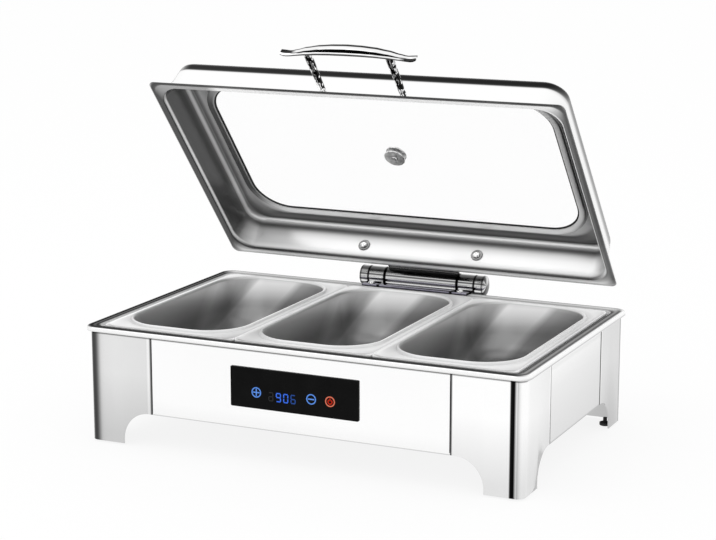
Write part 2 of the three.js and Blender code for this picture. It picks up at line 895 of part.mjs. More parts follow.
// Power inlet with three pins in a socket that opens to the rear.
function powerInlet() {
  const face = faceY + clearance;
  const mouth = face + inletFlangeThick;
  const floor = mouth - inletSocketDepth;
  const flangeOutline = roundedOutline(
    inletFlangeWidth,
    inletFlangeHeight,
    inletFlangeRadius,
    inletX,
    inletCentre,
  );
  const flange = drawnAlongY(flangeOutline, face, mouth);
  const body = block(
    span(inletX, inletBodyWidth),
    [face - inletBodyDepth, face + inletFlangeThick / 2],
    span(inletCentre, inletBodyHeight),
  );
  const socket = block(
    span(inletX, inletBodyWidth - inletWall * 2),
    [floor, mouth + overrun],
    span(inletCentre, inletBodyHeight - inletWall * 2),
  );
  const pinPlaces = [[-inletPinSpread, -inletPinDrop], [0, inletPinDrop], [inletPinSpread, -inletPinDrop]];
  const pins = pinPlaces.map(([x, z]) => block(
    span(inletX + x, inletPinThick),
    [floor - inletWall / 2, floor + inletPinLength],
    span(inletCentre + z, inletPinWidth),
  ));
  return joined(cut(joined(flange, body), socket), ...pins);
}

// One food pan about its own middle: flange with a turned-down lip, rolled edge and sloping tub.
function foodPan() {
  const flange = level(panPitch - panSeam, panLength - panSeam, foodFlangeRadius);
  const opening = level(foodOpeningWidth, foodOpeningLength, foodOpeningRadius, foodFlangeTop);
  const underside = foodFlangeTop - foodSheet;
  const outside = { ...inset(opening, -foodSheet), z: foodFlangeTop };
  const outerFillet = foodFillet + foodSheet;
  const outerWall = tubWall(outside, foodDepth + foodSheet, foodSlopeX, foodSlopeY, outerFillet, underside);
  const innerWall = tubWall(opening, foodDepth, foodSlopeX, foodSlopeY, foodFillet, foodFlangeTop);
  const outerTop = outerWall[outerWall.length - 1];
  const innerTop = innerWall[innerWall.length - 1];
  const outerBead = [];
  const innerBead = [];
  for (let i = 1; i <= beadSteps; i++) {
    const angle = (quarterTurn * 2 * i) / beadSteps;
    const out = (1 - Math.cos(angle)) / 2;
    const up = foodBeadHeight * Math.sin(angle);
    innerBead.push(at(inset(innerTop, -foodBeadWidth * out), foodFlangeTop + up));
    outerBead.push(at(inset(outerTop, -(foodBeadWidth - foodSheet * 2) * out), underside + up));
  }
  return stacked([
    ...outerWall,
    ...outerBead,
    at(inset(flange, foodSheet), underside),
    at(inset(flange, foodSheet), foodFlangeTop - foodFlangeHeight),
    at(flange, foodFlangeTop - foodFlangeHeight),
    at(flange, foodFlangeTop - foodSheet / 2),
    at(inset(flange, foodSheet / 2), foodFlangeTop),
    ...innerBead.reverse(),
    ...innerWall.reverse(),
  ]);
}

function foodPans() {
  return panNames.map((name, i) => {
    const pan = piece(`food_pan_${name}`, foodPan(), satinSteel());
    pan.position.set((i - (panNames.length - 1) / 2) * panPitch, wellShift, 0);
    return pan;
  });
}

function waterPan() {
  const flangeWidth = wellWidth - waterFlangeMarginX * 2;
  const flangeDepth = wellDepth - waterFlangeMarginY * 2;
  const flange = level(flangeWidth, flangeDepth, waterFlangeRadius);
  const mouth = level(waterMouthWidth, waterMouthDepth, waterRadius, waterFlangeTop);
  const underside = waterFlangeTop - waterFlangeThick;
  const outside = inset(mouth, -waterSheet);
  const outerFillet = waterFillet + waterSheet;
  const outerDepth = waterDepth + waterSheet;
  const outerWall = tubWall(outside, outerDepth, waterSlopeX, waterSlopeY, outerFillet, underside);
  const innerWall = tubWall(mouth, waterDepth, waterSlopeX, waterSlopeY, waterFillet, waterFlangeTop);
  return stacked([
    ...outerWall,
    at(flange, underside),
    at(flange, waterFlangeTop),
    ...innerWall.reverse(),
  ]);
}

// Bracket on the rear of the rim with two knuckles that hold the shaft.
function hingeBaseBracket() {
  const base = housingTop + clearance;
  const front = hingeY - bracketFront;
  const middleY = front + bracketDepth / 2;
  const outline = roundedOutline(knuckleTo * 2, bracketDepth, bracketRadius, 0, middleY);
  let bracket = raised(outline, base, base + bracketThick);
  for (const side of [-1, 1]) {
    const x = ordered(side * knuckleFrom, side * knuckleTo);
    const axis = new THREE.Vector3(0, hingeY, hingeZ);
    const arm = block(x, [middleY, hingeY], [base, base + bracketThick]);
    const knuckle = rod(hingeRadius, x[0], x[1], barrelSides, axis, rightwards);
    const bore = rod(hingeBore, x[0] - overrun, x[1] + overrun, rodSides, axis, rightwards);
    const place = new THREE.Vector3(side * bracketScrewX, hingeY - bracketScrewY, base);
    const hole = rod(screwShankRadius + clearance, -overrun, bracketThick + overrun, smallSides, place);
    bracket = cut(joined(bracket, arm, knuckle), bore, hole);
  }
  return bracket;
}

function rimScrewHoles() {
  return [-1, 1].map((side) => {
    const place = new THREE.Vector3(side * bracketScrewX, hingeY - bracketScrewY, housingTop);
    return rod(screwShankRadius + clearance, -sheet - overrun, overrun, smallSides, place);
  });
}

function hingeScrew(side) {
  const seat = housingTop + clearance + bracketThick + clearance;
  const place = new THREE.Vector3(side * bracketScrewX, hingeY - bracketScrewY, seat);
  return turned([
    [0, -screwLength],
    [screwShankRadius, -screwLength],
    [screwShankRadius, 0],
    [screwHeadRadius, 0],
    [screwHeadRadius, screwHeadHeight / 2],
    [screwHeadRadius / 2, screwHeadHeight],
    [0, screwHeadHeight],
  ], rodSides, place);
}

function hingeShaft() {
  const half = knuckleTo + clearance + capSocket - clearance;
  return rod(shaftRadius, -half, half, rodSides, new THREE.Vector3(0, hingeY, hingeZ), rightwards);
}

function hingeCap(side) {
  const place = new THREE.Vector3(side * (knuckleTo + clearance), hingeY, hingeZ);
  const way = new THREE.Vector3(side, 0, 0);
  return turned([
    [0, capSocket],
    [hingeBore, capSocket],
    [hingeBore, 0],
    [hingeRadius, 0],
    [hingeRadius, capLength - capDome],
    [hingeRadius - capDome, capLength - capDome / 2],
    [hingeRadius / 2, capLength],
    [0, capLength],
  ], barrelSides, place, way);
}

// Where a sloping lid wall's outer face lies, and which way it faces. Side is 1 at the rear.
const wallRun = lidHeight - lidEdge - lidSheet;
const wallLean = Math.atan2(lidSlopeY, wallRun);

function wallY(side, rise) {
  const foot = lidDepth / 2 - lidFlange + lidSheet;
  const lean = (lidSlopeY * (rise - lidSheet)) / wallRun;
  return lidShift + side * (foot - lean);
}

function wallPlace(side, x, rise) {
  return new THREE.Vector3(x, wallY(side, rise), lidClosedZ + rise);
}

function wallWay(side) {
  return new THREE.Vector3(0, side * Math.cos(wallLean), Math.sin(wallLean));
}

// The handle's posts stand level on the leaning front wall.
const forwards = new THREE.Vector3(0, -1, 0);

function postPlace(side) {
  return wallPlace(-1, handleShift + (side * postSpacing) / 2, postRise);
}

// Sleeve between the knuckles, with the web and plate that carry the lid.
function hingeSleeve() {
  const axis = new THREE.Vector3(-lidOffset, hingeY, hingeZ);
  const sleeve = rod(hingeRadius, -sleeveHalf, sleeveHalf, barrelSides, axis, rightwards);
  const bore = rod(hingeBore, -sleeveHalf - overrun, sleeveHalf + overrun, rodSides, axis, rightwards);
  const plate = drawnAlongX(polygon([
    [wallY(1, lidPlateLow) + clearance, lidClosedZ + lidPlateLow],
    [wallY(1, lidPlateLow) + clearance + bracketThick, lidClosedZ + lidPlateLow],
    [wallY(1, lidPlateHigh) + clearance + bracketThick, lidClosedZ + lidPlateHigh],
    [wallY(1, lidPlateHigh) + clearance, lidClosedZ + lidPlateHigh],
  ]), -lidPlateHalf, lidPlateHalf);
  const webZ = [hingeZ + webRise, hingeZ + webRise + bracketThick];
  const webFront = wallY(1, webZ[0] - lidClosedZ) + clearance + bracketThick / 2;
  const web = block(span(-lidOffset, (sleeveHalf - webInset) * 2), [webFront, hingeY], webZ);
  const holes = [-1, 1].map((side) => rod(
    lidScrewShankRadius + clearance,
    -overrun,
    bracketThick + overrun,
    smallSides,
    wallPlace(1, side * lidScrewX, lidScrewRise),
    wallWay(1),
  ));
  return cut(joined(sleeve, web, plate), bore, ...holes);
}

// Lid pressed from one sheet: flange, leaning walls, rounded edge, flat top and the ledge for the glass.
function lidShell() {
  const flange = level(lidWidth, lidDepth, lidFlangeRadius, lidClosedZ, lidShift);
  const wallFoot = { ...inset(flange, lidFlange - lidSheet), radius: lidWallRadius };
  const wallTop = inset(wallFoot, lidSlopeX, lidSlopeY);
  const window = level(windowWidth, windowDepth, windowRadius, lidLedgeTop, lidShift);
  const recess = inset(window, -windowLedge);
  const edgeStart = lidTop - lidEdge;
  const edgeShare = 1 - Math.SQRT1_2;
  const thin = lidEdge - lidSheet;
  return stacked([
    flange,
    at(flange, lidClosedZ + lidSheet),
    at(wallFoot, lidClosedZ + lidSheet),
    at(wallTop, edgeStart),
    at(inset(wallTop, lidEdge * edgeShare), lidTop - lidEdge * edgeShare),
    at(inset(wallTop, lidEdge), lidTop),
    at(recess, lidTop),
    at(recess, lidLedgeTop),
    window,
    at(window, lidLedgeTop - lidSheet),
    at(inset(recess, -lidSheet), lidLedgeTop - lidSheet),
    at(inset(recess, -lidSheet), lidTop - lidSheet),
    at(inset(wallTop, lidEdge), lidTop - lidSheet),
    at(inset(wallTop, lidSheet + thin * edgeShare), lidTop - lidSheet - thin * edgeShare),
    at(inset(wallTop, lidSheet), edgeStart),
    at(inset(wallFoot, lidSheet), lidClosedZ),
  ], true);
}

function lidWallHoles() {
  const rear = [-1, 1].map((side) => rod(
    lidScrewShankRadius + clearance,
    -lidSheet - overrun,
    overrun,
    smallSides,
    wallPlace(1, side * lidScrewX, lidScrewRise),
    wallWay(1),
  ));
  const front = [-1, 1].map((side) => rod(
    handleScrewShankRadius + clearance,
    -lidSheet - overrun,
    overrun,
    smallSides,
    postPlace(side),
    forwards,
  ));
  return [...rear, ...front];
}

function windowRecess() {
  return level(windowWidth + windowLedge * 2, windowDepth + windowLedge * 2, windowRadius + windowLedge);
}

function windowGlass() {
  const { width, depth, radius } = inset(windowRecess(), clearance);
  const pane = raised(roundedOutline(width, depth, radius, 0, lidShift), glassBase, lidTop);
  const centre = new THREE.Vector3(0, lidShift, 0);
  return cut(pane, rod(ventHole, glassBase - overrun, lidTop + overrun, barrelSides, centre));
}

function windowSeal() {
  const outer = inset(windowRecess(), clearance);
  const inner = inset(windowRecess(), windowLedge + sealShow);
  const base = lidLedgeTop + clearance;
  const outline = roundedOutline(outer.width, outer.depth, outer.radius, 0, lidShift);
  const ring = raised(outline, base, base + sealThick);
  const opening = roundedOutline(inner.width, inner.depth, inner.radius, 0, lidShift);
  return cut(ring, raised(opening, base - overrun, base + sealThick + overrun));
}

// A screw whose head lies inside a lid wall, seated at a depth below the wall's outer face.
function wallScrew(place, way, seat, size) {
  return turned([
    [0, -seat - size.headHeight],
    [size.headRadius / 2, -seat - size.headHeight],
    [size.headRadius, -seat - size.headHeight / 2],
    [size.headRadius, -seat],
    [size.shankRadius, -seat],
    [size.shankRadius, -seat + size.length],
    [0, -seat + size.length],
  ], rodSides, place, way);
}

const washerSeat = lidSheet + clearance;

function lidScrew(side) {
  const size = {
    headRadius: lidScrewHeadRadius,
    headHeight: lidScrewHeadHeight,
    shankRadius: lidScrewShankRadius,
    length: lidScrewLength,
  };
  const seat = washerSeat + washerThick + clearance;
  return wallScrew(wallPlace(1, side * lidScrewX, lidScrewRise), wallWay(1), seat, size);
}

function lidWasher(side) {
  const bore = lidScrewShankRadius + clearance;
  return turned([
    [bore, -washerSeat - washerThick],
    [washerRadius, -washerSeat - washerThick],
    [washerRadius, -washerSeat],
    [bore, -washerSeat],
    [bore, -washerSeat - washerThick],
  ], rodSides, wallPlace(1, side * lidScrewX, lidScrewRise), wallWay(1));
}

// Steam vent: a base under the glass with a hub through it, a cap on top and a screw from below.
function ventPortTools() {
  const tools = [];
  for (let i = 0; i < ventPorts; i++) {
    const angle = (quarterTurn * 4 * i) / ventPorts;
    const x = ventPortCircle * Math.cos(angle);
    const y = lidShift + ventPortCircle * Math.sin(angle);
    const port = new THREE.Vector3(x, y, 0);
    tools.push(rod(ventPortRadius, lidLedgeTop - lidHeight, lidTop + lidHeight, smallSides, port));
  }
  return tools;
}

function ventScrewBore() {
  const centre = new THREE.Vector3(0, lidShift, 0);
  const radius = ventScrewShankRadius + clearance;
  return rod(radius, lidLedgeTop - lidHeight, lidTop + lidHeight, smallSides, centre);
}

function ventBase() {
  const top = glassBase - clearance;
  const centre = new THREE.Vector3(0, lidShift, 0);
  const disc = rod(ventRadius, top - ventThick, top, barrelSides, centre);
  const hubEnd = glassBase + ventHubLength;
  const hub = rod(ventHole - clearance, top - ventThick / 2, hubEnd, barrelSides, centre);
  return cut(joined(disc, hub), ventScrewBore(), ...ventPortTools());
}

function ventCap() {
  const base = lidTop + clearance;
  const disc = rod(ventRadius, base, base + ventThick, barrelSides, new THREE.Vector3(0, lidShift, 0));
  return cut(disc, ventScrewBore(), ...ventPortTools());
}

function ventScrew() {
  const seat = glassBase - clearance - ventThick - clearance;
  return turned([
    [0, seat - ventScrewHeadHeight],
    [ventScrewHeadRadius / 2, seat - ventScrewHeadHeight],
    [ventScrewHeadRadius, seat - ventScrewHeadHeight / 2],
    [ventScrewHeadRadius, seat],
    [ventScrewShankRadius, seat],
    [ventScrewShankRadius, lidTop + clearance + ventThick],
    [0, lidTop + clearance + ventThick],
  ], rodSides, new THREE.Vector3(0, lidShift, 0));
}

// Handle on two posts, each with its foot cut to the slope of the lid's front wall.
function handlePost(side) {
  const place = postPlace(side);
  const post = turned([
    [0, postBoreDepth],
    [postBoreRadius, postBoreDepth],
    [postBoreRadius, -postFootRadius],
    [postFootRadius, -postFootRadius],
    [postTopRadius, postReach],
    [0, postReach],
  ], rodSides, place, forwards);
  return cut(post, rod(postFootRadius * 2, -postFootRadius * 2, clearance, rodSides, place, wallWay(-1)));
}

function handleScrew(side) {
  const size = {
    headRadius: handleScrewHeadRadius,
    headHeight: handleScrewHeadHeight,
    shankRadius: handleScrewShankRadius,
    length: handleScrewLength,
  };
  const seat = lidSheet / Math.cos(wallLean) + clearance + handleScrewHeadRadius * Math.tan(wallLean);
  return wallScrew(postPlace(side), forwards, seat, size);
}

function barRing(share, i) {
  const width = barWidth * barWidthShares[i];
  const thick = barThick * barThickShares[i];
  const stand = barStand + barBow * barBowShares[i] + barFlick * barFlickShares[i];
  const foot = wallPlace(-1, handleShift + (share * barLength) / 2, postRise);
  const ring = [];
  for (let j = 0; j < barSides; j++) {
    const angle = (quarterTurn * 4 * (j + 1 / 2)) / barSides;
    const lift = Math.sin(angle);
    const inner = -(Math.abs(lift) ** barInnerPowerShare);
    const depth = (thick / 2) * (lift > 0 ? lift : inner);
    ring.push(foot.clone()
      .addScaledVector(upwards, (width / 2) * Math.cos(angle))
      .addScaledVector(forwards, stand + depth));
  }
  return ring;
}

function handleBar() {
  const right = barPlaceShares.map((share, i) => barRing(share, i));
  const left = barPlaceShares.slice(1).map((share, i) => barRing(-share, i + 1));
  const bar = skinned([...left.reverse(), ...right]);
  const sockets = [-1, 1].map((side) => rod(
    postTopRadius + clearance,
    postReach - barThick,
    postReach + clearance,
    rodSides,
    postPlace(side),
    forwards,
  ));
  return cut(bar, ...sockets);
}

// Housing, heater and controls
const dish = new THREE.Group();
dish.add(
  piece('top_rim', cut(topRim(), ...rimScrewHoles()), polishedSteel()),
  piece('front_panel', frontPanel(), polishedSteel()),
  piece('rear_panel', rearPanel(), polishedSteel()),
  piece('left_panel', panelAlong(-1), polishedSteel()),
  piece('right_panel', panelAlong(1), polishedSteel()),
  ...legsAndFeet(),
  piece('bottom_cover', bottomCover(), satinSteel()),
  piece('heating_plate', heatingPlate(), castAluminium()),
  piece('heating_element', heatingElement(), satinSteel()),
  piece('element_clamp', elementClamp(), satinSteel()),
  piece('heat_shield', heatShield(), satinSteel()),
  piece('thermal_cutout', thermalCutout(), ceramic()),
  piece('terminal_block', terminalBlock(), ceramic()),
  piece('touch_panel', touchPanel(), blackGlass()),
  piece('display_module', displayModule(), darkPlastic()),
  piece('control_board', controlBoard(), circuitBoard()),
  piece('control_box', controlBox(), darkPlastic()),
  piece('power_relay', powerRelay(), darkPlastic()),
  piece('power_inlet', powerInlet(), darkPlastic()),
);

// Pans, and the half of the hinge that stays with the housing
dish.add(
  piece('water_pan', waterPan(), satinSteel()),
  ...foodPans(),
  piece('hinge_base_bracket', hingeBaseBracket(), chrome()),
  piece('hinge_shaft', hingeShaft(), satinSteel()),
  piece('hinge_cap_left', hingeCap(-1), chrome()),
  piece('hinge_cap_right', hingeCap(1), chrome()),
  piece('hinge_screw_left', hingeScrew(-1), chrome()),
  piece('hinge_screw_right', hingeScrew(1), chrome()),
);
dish.getObjectByName('water_pan').position.set(0, wellShift, 0);

// Lid, laid out closed in a group that turns about the hinge axis
const lidLaidOut = new THREE.Group();
lidLaidOut.position.set(lidOffset, -hingeY, -hingeZ);
lidLaidOut.add(
  piece('hinge_sleeve', hingeSleeve(), chrome()),
  piece('lid_shell', cut(lidShell(), ...lidWallHoles()), polishedSteel()),
  piece('window_glass', windowGlass(), clearGlass()),
  piece('window_seal', windowSeal(), rubber()),
  piece('lid_screw_left', lidScrew(-1), chrome()),
  piece('lid_screw_right', lidScrew(1), chrome()),
  piece('lid_washer_left', lidWasher(-1), chrome()),
  piece('lid_washer_right', lidWasher(1), chrome()),
  piece('vent_base', ventBase(), chrome()),
  piece('vent_cap', ventCap(), chrome()),
  piece('vent_screw', ventScrew(), chrome()),
  piece('handle_bar', handleBar(), chrome()),
  piece('handle_post_left', handlePost(-1), chrome()),
  piece('handle_post_right', handlePost(1), chrome()),
  piece('handle_screw_left', handleScrew(-1), chrome()),
  piece('handle_screw_right', handleScrew(1), chrome()),
);
const lid = new THREE.Group();
lid.add(lidLaidOut);
lid.position.set(0, hingeY, hingeZ);
lid.rotation.x = -openAngle;
dish.add(lid);

// The finished object stands on the table with its box centred on the origin
const box = new THREE.Box3().setFromObject(dish, true);
const centre = box.getCenter(new THREE.Vector3());
dish.position.set(-centre.x, -centre.y, -box.min.z);

const group = new THREE.Group();
group.add(dish);

export default group;
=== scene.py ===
# Electric chafing dish on a pale floor.
# Sizes are millimetres, as in the part's source. A finished piece is put in metres, in the row frame.
import math
from dataclasses import dataclass, replace

import bmesh
import bpy
from mathutils import Matrix, Vector


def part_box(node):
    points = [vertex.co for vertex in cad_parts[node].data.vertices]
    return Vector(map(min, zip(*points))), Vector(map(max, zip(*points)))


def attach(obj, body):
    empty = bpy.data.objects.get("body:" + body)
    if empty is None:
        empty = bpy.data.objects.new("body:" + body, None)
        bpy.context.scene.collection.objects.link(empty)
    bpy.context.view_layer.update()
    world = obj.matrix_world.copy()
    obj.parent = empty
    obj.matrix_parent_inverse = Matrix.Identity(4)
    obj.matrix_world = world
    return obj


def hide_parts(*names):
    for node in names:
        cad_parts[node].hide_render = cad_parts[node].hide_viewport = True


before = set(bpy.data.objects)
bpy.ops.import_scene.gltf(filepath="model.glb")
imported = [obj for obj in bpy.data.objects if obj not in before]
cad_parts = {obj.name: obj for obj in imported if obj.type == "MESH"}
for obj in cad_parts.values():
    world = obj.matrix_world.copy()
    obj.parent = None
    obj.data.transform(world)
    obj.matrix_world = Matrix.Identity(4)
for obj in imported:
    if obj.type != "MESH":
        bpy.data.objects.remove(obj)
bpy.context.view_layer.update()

MM = 0.001
CLEARANCE = 0.3

# Camera
CAMERA_PLACE = (0.9896, -2.1514, 0.7014)
CAMERA_YAW = math.radians(24.919)
CAMERA_PITCH = math.radians(11.975)
CAMERA_LENS = 99.83

# Housing
HOUSING_TOP = 143
HOUSING_WIDTH = 566
HOUSING_DEPTH = 362
SHEET = 1.5
RIM_OVERHANG = 5.3
RIM_BAND = 5.5
RIM_RADIUS = 15
RIM_EDGE = 2.4
RIM_SKIRT = 15
WELL_WIDTH = 538
WELL_DEPTH = 334
WELL_RADIUS = 13
WELL_SHIFT = -3.5
LEDGE_TOP = 138
RIM_MOUTH = (511, 314.6, 53)
PANEL_BOTTOM = 42.4
PANEL_TOP = 141.2
FACE_X = 277.7
FACE_Y = 175.7

# Legs and feet
LEG_ARM = 86.5
FOOT_ARM = 46.5
LEG_ARCH = 35
LEG_LIFT = 2
LEG_RADIUS = RIM_RADIUS - RIM_OVERHANG
FOOT_INSET_X = 11
FOOT_INSET_Y = 27
FOOT_RADIUS = 7
FOOT_HEIGHT = 4

# Food pans
PAN_PITCH = 176
PAN_FLANGE = (175.4, 324.4, 9)
PAN_OPENING = (149, 294, 50)
PAN_TOP = 143.3
PAN_LIP = 3.5
PAN_SHEET = 1
PAN_BEAD = (5, 3)
BEAD_STEPS = 6
PAN_DEPTH = 65
PAN_SLOPE_X = 0.12
PAN_SLOPE_Y = 0.215
PAN_FILLET = 32

# Hinge
HINGE = Vector((0, 197.4, 150.8))
OPEN_ANGLE = math.radians(49.2)
HINGE_RADIUS = 13
HINGE_BORE = 5.3
SLEEVE_HALF = 51
KNUCKLE = (51.3, 74)
CAP_LENGTH = 13.5
CAP_DOME = 2.2
CAP_SOCKET = 6
BRACKET_Y = (164, 181)
BRACKET_THICK = 3
BRACKET_SCREW_X = 62
BRACKET_SCREW_Y = 169
SCREW_HEAD = 4.4
SCREW_HEIGHT = 2.4
WEB_Z = (158.3, 161.3)
WEB_HALF = 49.5
LID_PLATE_HALF = 92
LID_PLATE_RISE = (10, 33)

# Lid, laid out closed
LID_Z = 143.6
LID_OFFSET = 3
LID_SHIFT = -2.1
LID_FLANGE = (537.4, 330, 8)
LID_FLANGE_WIDTH = 9.5
LID_SHEET = 1
LID_HEIGHT = 49.4
LID_EDGE = 6
LID_WALL_RADIUS = 30
LID_SLOPE_X = 6
LID_SLOPE_Y = 5.5
LID_WINDOW = (450.4, 233, 45)
LID_LEDGE = 9
GLASS_THICK = 4
SEAL_THICK = 0.8
SEAL_SHOW = 2
LID_TOP = LID_Z + LID_HEIGHT
LEDGE_Z = LID_TOP - GLASS_THICK - SEAL_THICK - CLEARANCE * 2
LID_SCREW_X = 79
LID_SCREW_RISE = 20
LID_SCREW_HEAD = 4.8
LID_SCREW_HEIGHT = 2.6
WASHER_RADIUS = 7.8
WASHER_THICK = 1.2

# Steam vent
VENT_RADIUS = 13.5
VENT_THICK = 2
VENT_HOLE = 10.5
VENT_SCREW = 4
VENT_SCREW_HEIGHT = 1.8

# Handle
HANDLE_SHIFT = 14
POST_SPACING = 104
POST_RISE = 12
POST_REACH = 65
POST_FOOT = 3.9
POST_TOP = 4.9
BAR_LENGTH = 172
BAR_WIDTH = 17
BAR_THICK = 6.5
BAR_STAND = 59.7
BAR_BOW = 11
BAR_FLICK = 3
BAR_PLACES = [0, 0.2, 0.4, 0.6, 0.76, 0.86, 0.94, 1]
BAR_WIDTHS = [1, 0.97, 0.9, 0.76, 0.58, 0.52, 0.6, 0.5]
BAR_THICKS = [1, 0.97, 0.9, 0.78, 0.62, 0.56, 0.54, 0.36]
BAR_BOWS = [1, 0.96, 0.84, 0.6, 0.3, 0.1, 0, 0]
BAR_FLICKS = [0, 0, 0, 0, 0, 0.08, 0.5, 1]

# Touch panel
TOUCH_X = -2
TOUCH_Z = 91.5
TOUCH_SIZE = (164, 48, 1.5)
TOUCH_FRONT = -177.2
TOUCH_THICK = 1.2
MARK_THICK = 0.15
MARK_GAP = 0.05
MARK_Z = 87
RING_RADIUS = 6.2
RING_STROKE = 1.3
PLUS_X = -50.3
MINUS_X = 20.3
POWER_X = 44.2
DIGIT_Z = 84
DIGIT_SIZE = (6.6, 11, 1.3)
DIGIT_PLACES = (-31.4, -21.6, -12.2, -2.8)

# Facets
CORNER_STEPS = 12
FILLET_STEPS = 4
BARREL_STEPS = 64
SCREW_STEPS = 32
ARCH_STEPS = 16
POST_STEPS = 40
VENT_STEPS = 48
BAR_STEPS = 48
BAR_FACETS = 32
TOUCH_STEPS = 6
SHARP_ANGLE = math.radians(32)

# The number of the last line in each section
RIM_LAST = 13
PAN_LAST = 15
LID_LAST = 11

# The reach of the colour ramps, in metres
HEIGHT_SPAN = 0.15
DEPTH_SPAN = 0.4
LID_SPAN = 0.6
BARREL_REACH = 0.1
REFLECTION_SPAN = 0.2
SHADE_SPAN = 0.06

# The ways across a basin in which its two painted reflection streaks and its painted shade run
NEAR_REFLECTION = (0.723, 0.32, -0.288)
FAR_REFLECTION = (0.762, 0.236, -0.697)
BASIN_SHADE_WAY = (0.074, -0.16, -0.771)

# Floor and light, in metres and watts
FLOOR_SIZE = 30
FLOOR_TONE = 0.97
FLOOR_GLOW = 0.86
LAMP_PLACE = Vector((-1.2, -1.4, 2.6))
LAMP_AIM = Vector((0, 0, 0.2))
LAMP_SIZE = 2.4
LAMP_POWER = 12

# From the part's millimetres to the row frame, and for the lid through its opening turn
rim_middle = sum(Vector(corner).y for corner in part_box("top_rim")) / 2 / MM
to_row = Matrix.Scale(MM, 4) @ Matrix.Translation((0, rim_middle, 0))
opened = Matrix.Translation(HINGE) @ Matrix.Rotation(-OPEN_ANGLE, 4, "X") @ Matrix.Translation(-HINGE)
lid_to_row = to_row @ opened @ Matrix.Translation((LID_OFFSET, 0, 0))


# Shader helpers

def linear(tone):
    """A display value, or a colour of three, as the linear colour that a socket takes."""
    parts = tone if isinstance(tone, tuple) else (tone, tone, tone)
    return tuple(p / 12.92 if p <= 0.04045 else ((p + 0.055) / 1.055) ** 2.4 for p in parts) + (1.0,)


class Flow:
    """A value or colour on its way between nodes."""

    def __init__(self, finish, socket):
        self.finish = finish
        self.socket = socket

    def _with(self, operation, first, second):
        return self.finish.node("ShaderNodeMath", {"operation": operation}, {0: first, 1: second})

    def __add__(self, other):
        return self._with("ADD", self, other)

    __radd__ = __add__

    def __sub__(self, other):
        return self._with("SUBTRACT", self, other)

    def __rsub__(self, other):
        return self._with("SUBTRACT", other, self)

    def __mul__(self, other):
        return self._with("MULTIPLY", self, other)

    __rmul__ = __mul__

    def __truediv__(self, other):
        return self._with("DIVIDE", self, other)

    def above(self, floor):
        return self._with("MAXIMUM", self, floor)

    def below(self, ceiling):
        return self._with("MINIMUM", self, ceiling)


class Finish:
    """A material round one Principled shader."""

    def __init__(self, name, slot, constants):
        self.slot = slot
        self.material = bpy.data.materials.new(name)
        self.material.use_nodes = True
        self.tree = self.material.node_tree
        self.shader = self.tree.nodes["Principled BSDF"]
        for socket, value in constants.items():
            self.shader.inputs[socket].default_value = value

    def node(self, kind, settings=None, values=None, output=0):
        made = self.tree.nodes.new(kind)
        for key, value in (settings or {}).items():
            if key == "stops":
                self._stops(made.color_ramp, value)
            else:
                setattr(made, key, value)
        for key, value in (values or {}).items():
            if isinstance(value, Flow):
                self.tree.links.new(value.socket, made.inputs[key])
            else:
                made.inputs[key].default_value = value
        return Flow(self, made.outputs[output])

    @staticmethod
    def _stops(ramp, stops):
        ramp.elements.remove(ramp.elements[1])
        ramp.elements[0].position = stops[0][0]
        ramp.elements[0].color = linear(stops[0][1])
        for place, tone in stops[1:]:
            ramp.elements.new(place).color = linear(tone)

    def feed(self, socket, flow):
        self.tree.links.new(flow.socket, self.shader.inputs[socket])

    def ramp(self, flow, stops):
        return self.node("ShaderNodeValToRGB", {"stops": stops}, {"Fac": flow})

    def place(self, centre=(0, 0, 0), scale=(1, 1, 1)):
        """Object coordinates about a centre, in steps of a scale."""
        coords = self.node("ShaderNodeTexCoord", output=3)
        return self.node("ShaderNodeMapping", {"vector_type": "TEXTURE"}, {
            "Vector": coords, "Location": centre, "Scale": scale})

    def part(self, flow, axis):
        return self.node("ShaderNodeSeparateXYZ", values={"Vector": flow}, output="XYZ".index(axis))

    def noise(self, size, scale, detail=2.0):
        """A cloud, as large as the size gives along each axis."""
        return self.node("ShaderNodeTexNoise", values={
            "Vector": self.place(scale=size), "Scale": scale, "Detail": detail})

    def mix(self, factor, first, second, blend="MIX"):
        settings = {"data_type": "RGBA", "blend_type": blend}
        return self.node("ShaderNodeMix", settings, {0: factor, 6: first, 7: second}, output=2)

    def times(self, first, second):
        return self.mix(1.0, first, second, "MULTIPLY")

    def scaled(self, colour, amount):
        return self.node("ShaderNodeVectorMath", {"operation": "SCALE"}, {0: colour, 3: amount})

    def summed(self, first, second):
        return self.node("ShaderNodeVectorMath", {"operation": "ADD"}, {0: first, 1: second})

    def bump(self, height, strength, distance=0.0002):
        self.feed("Normal", self.node("ShaderNodeBump", values={
            "Height": height, "Strength": strength, "Distance": distance}))

    def path(self):
        """The outward way across and along, and the place along the section."""
        return self.node("ShaderNodeAttribute", {"attribute_name": "path"}, output=1)

    def along(self, last, stops):
        """A ramp along the section. A stop's place counts the section's lines."""
        return self.ramp(self.part(self.path(), "Z"), [(line / last, tone) for line, tone in stops])

    def sided(self, last, front, right, rear, left):
        """A colour from one ramp along the section for each side, blended round the corners."""
        path = self.path()
        across, deep = self.part(path, "X"), self.part(path, "Y")
        ways = [(0 - deep, front), (across, right), (deep, rear), (0 - across, left)]
        total = None
        for way, stops in ways:
            weight = way.above(0.0)
            share = self.scaled(self.along(last, stops), weight * weight)
            total = share if total is None else self.summed(total, share)
        return total


def uneven(finish, roughness, spread, size):
    """Slight unevenness in the roughness, as large as the size gives along each axis."""
    grain = finish.noise(size, 6.0, 3.0)
    finish.feed("Roughness", (grain - 0.5) * spread + roughness)
    return grain


def grained(finish, roughness, spread, size=(0.004, 0.4, 0.4), strength=0.02):
    """Fine grain in the roughness and the surface."""
    finish.bump(uneven(finish, roughness, spread, size), strength)
    return finish


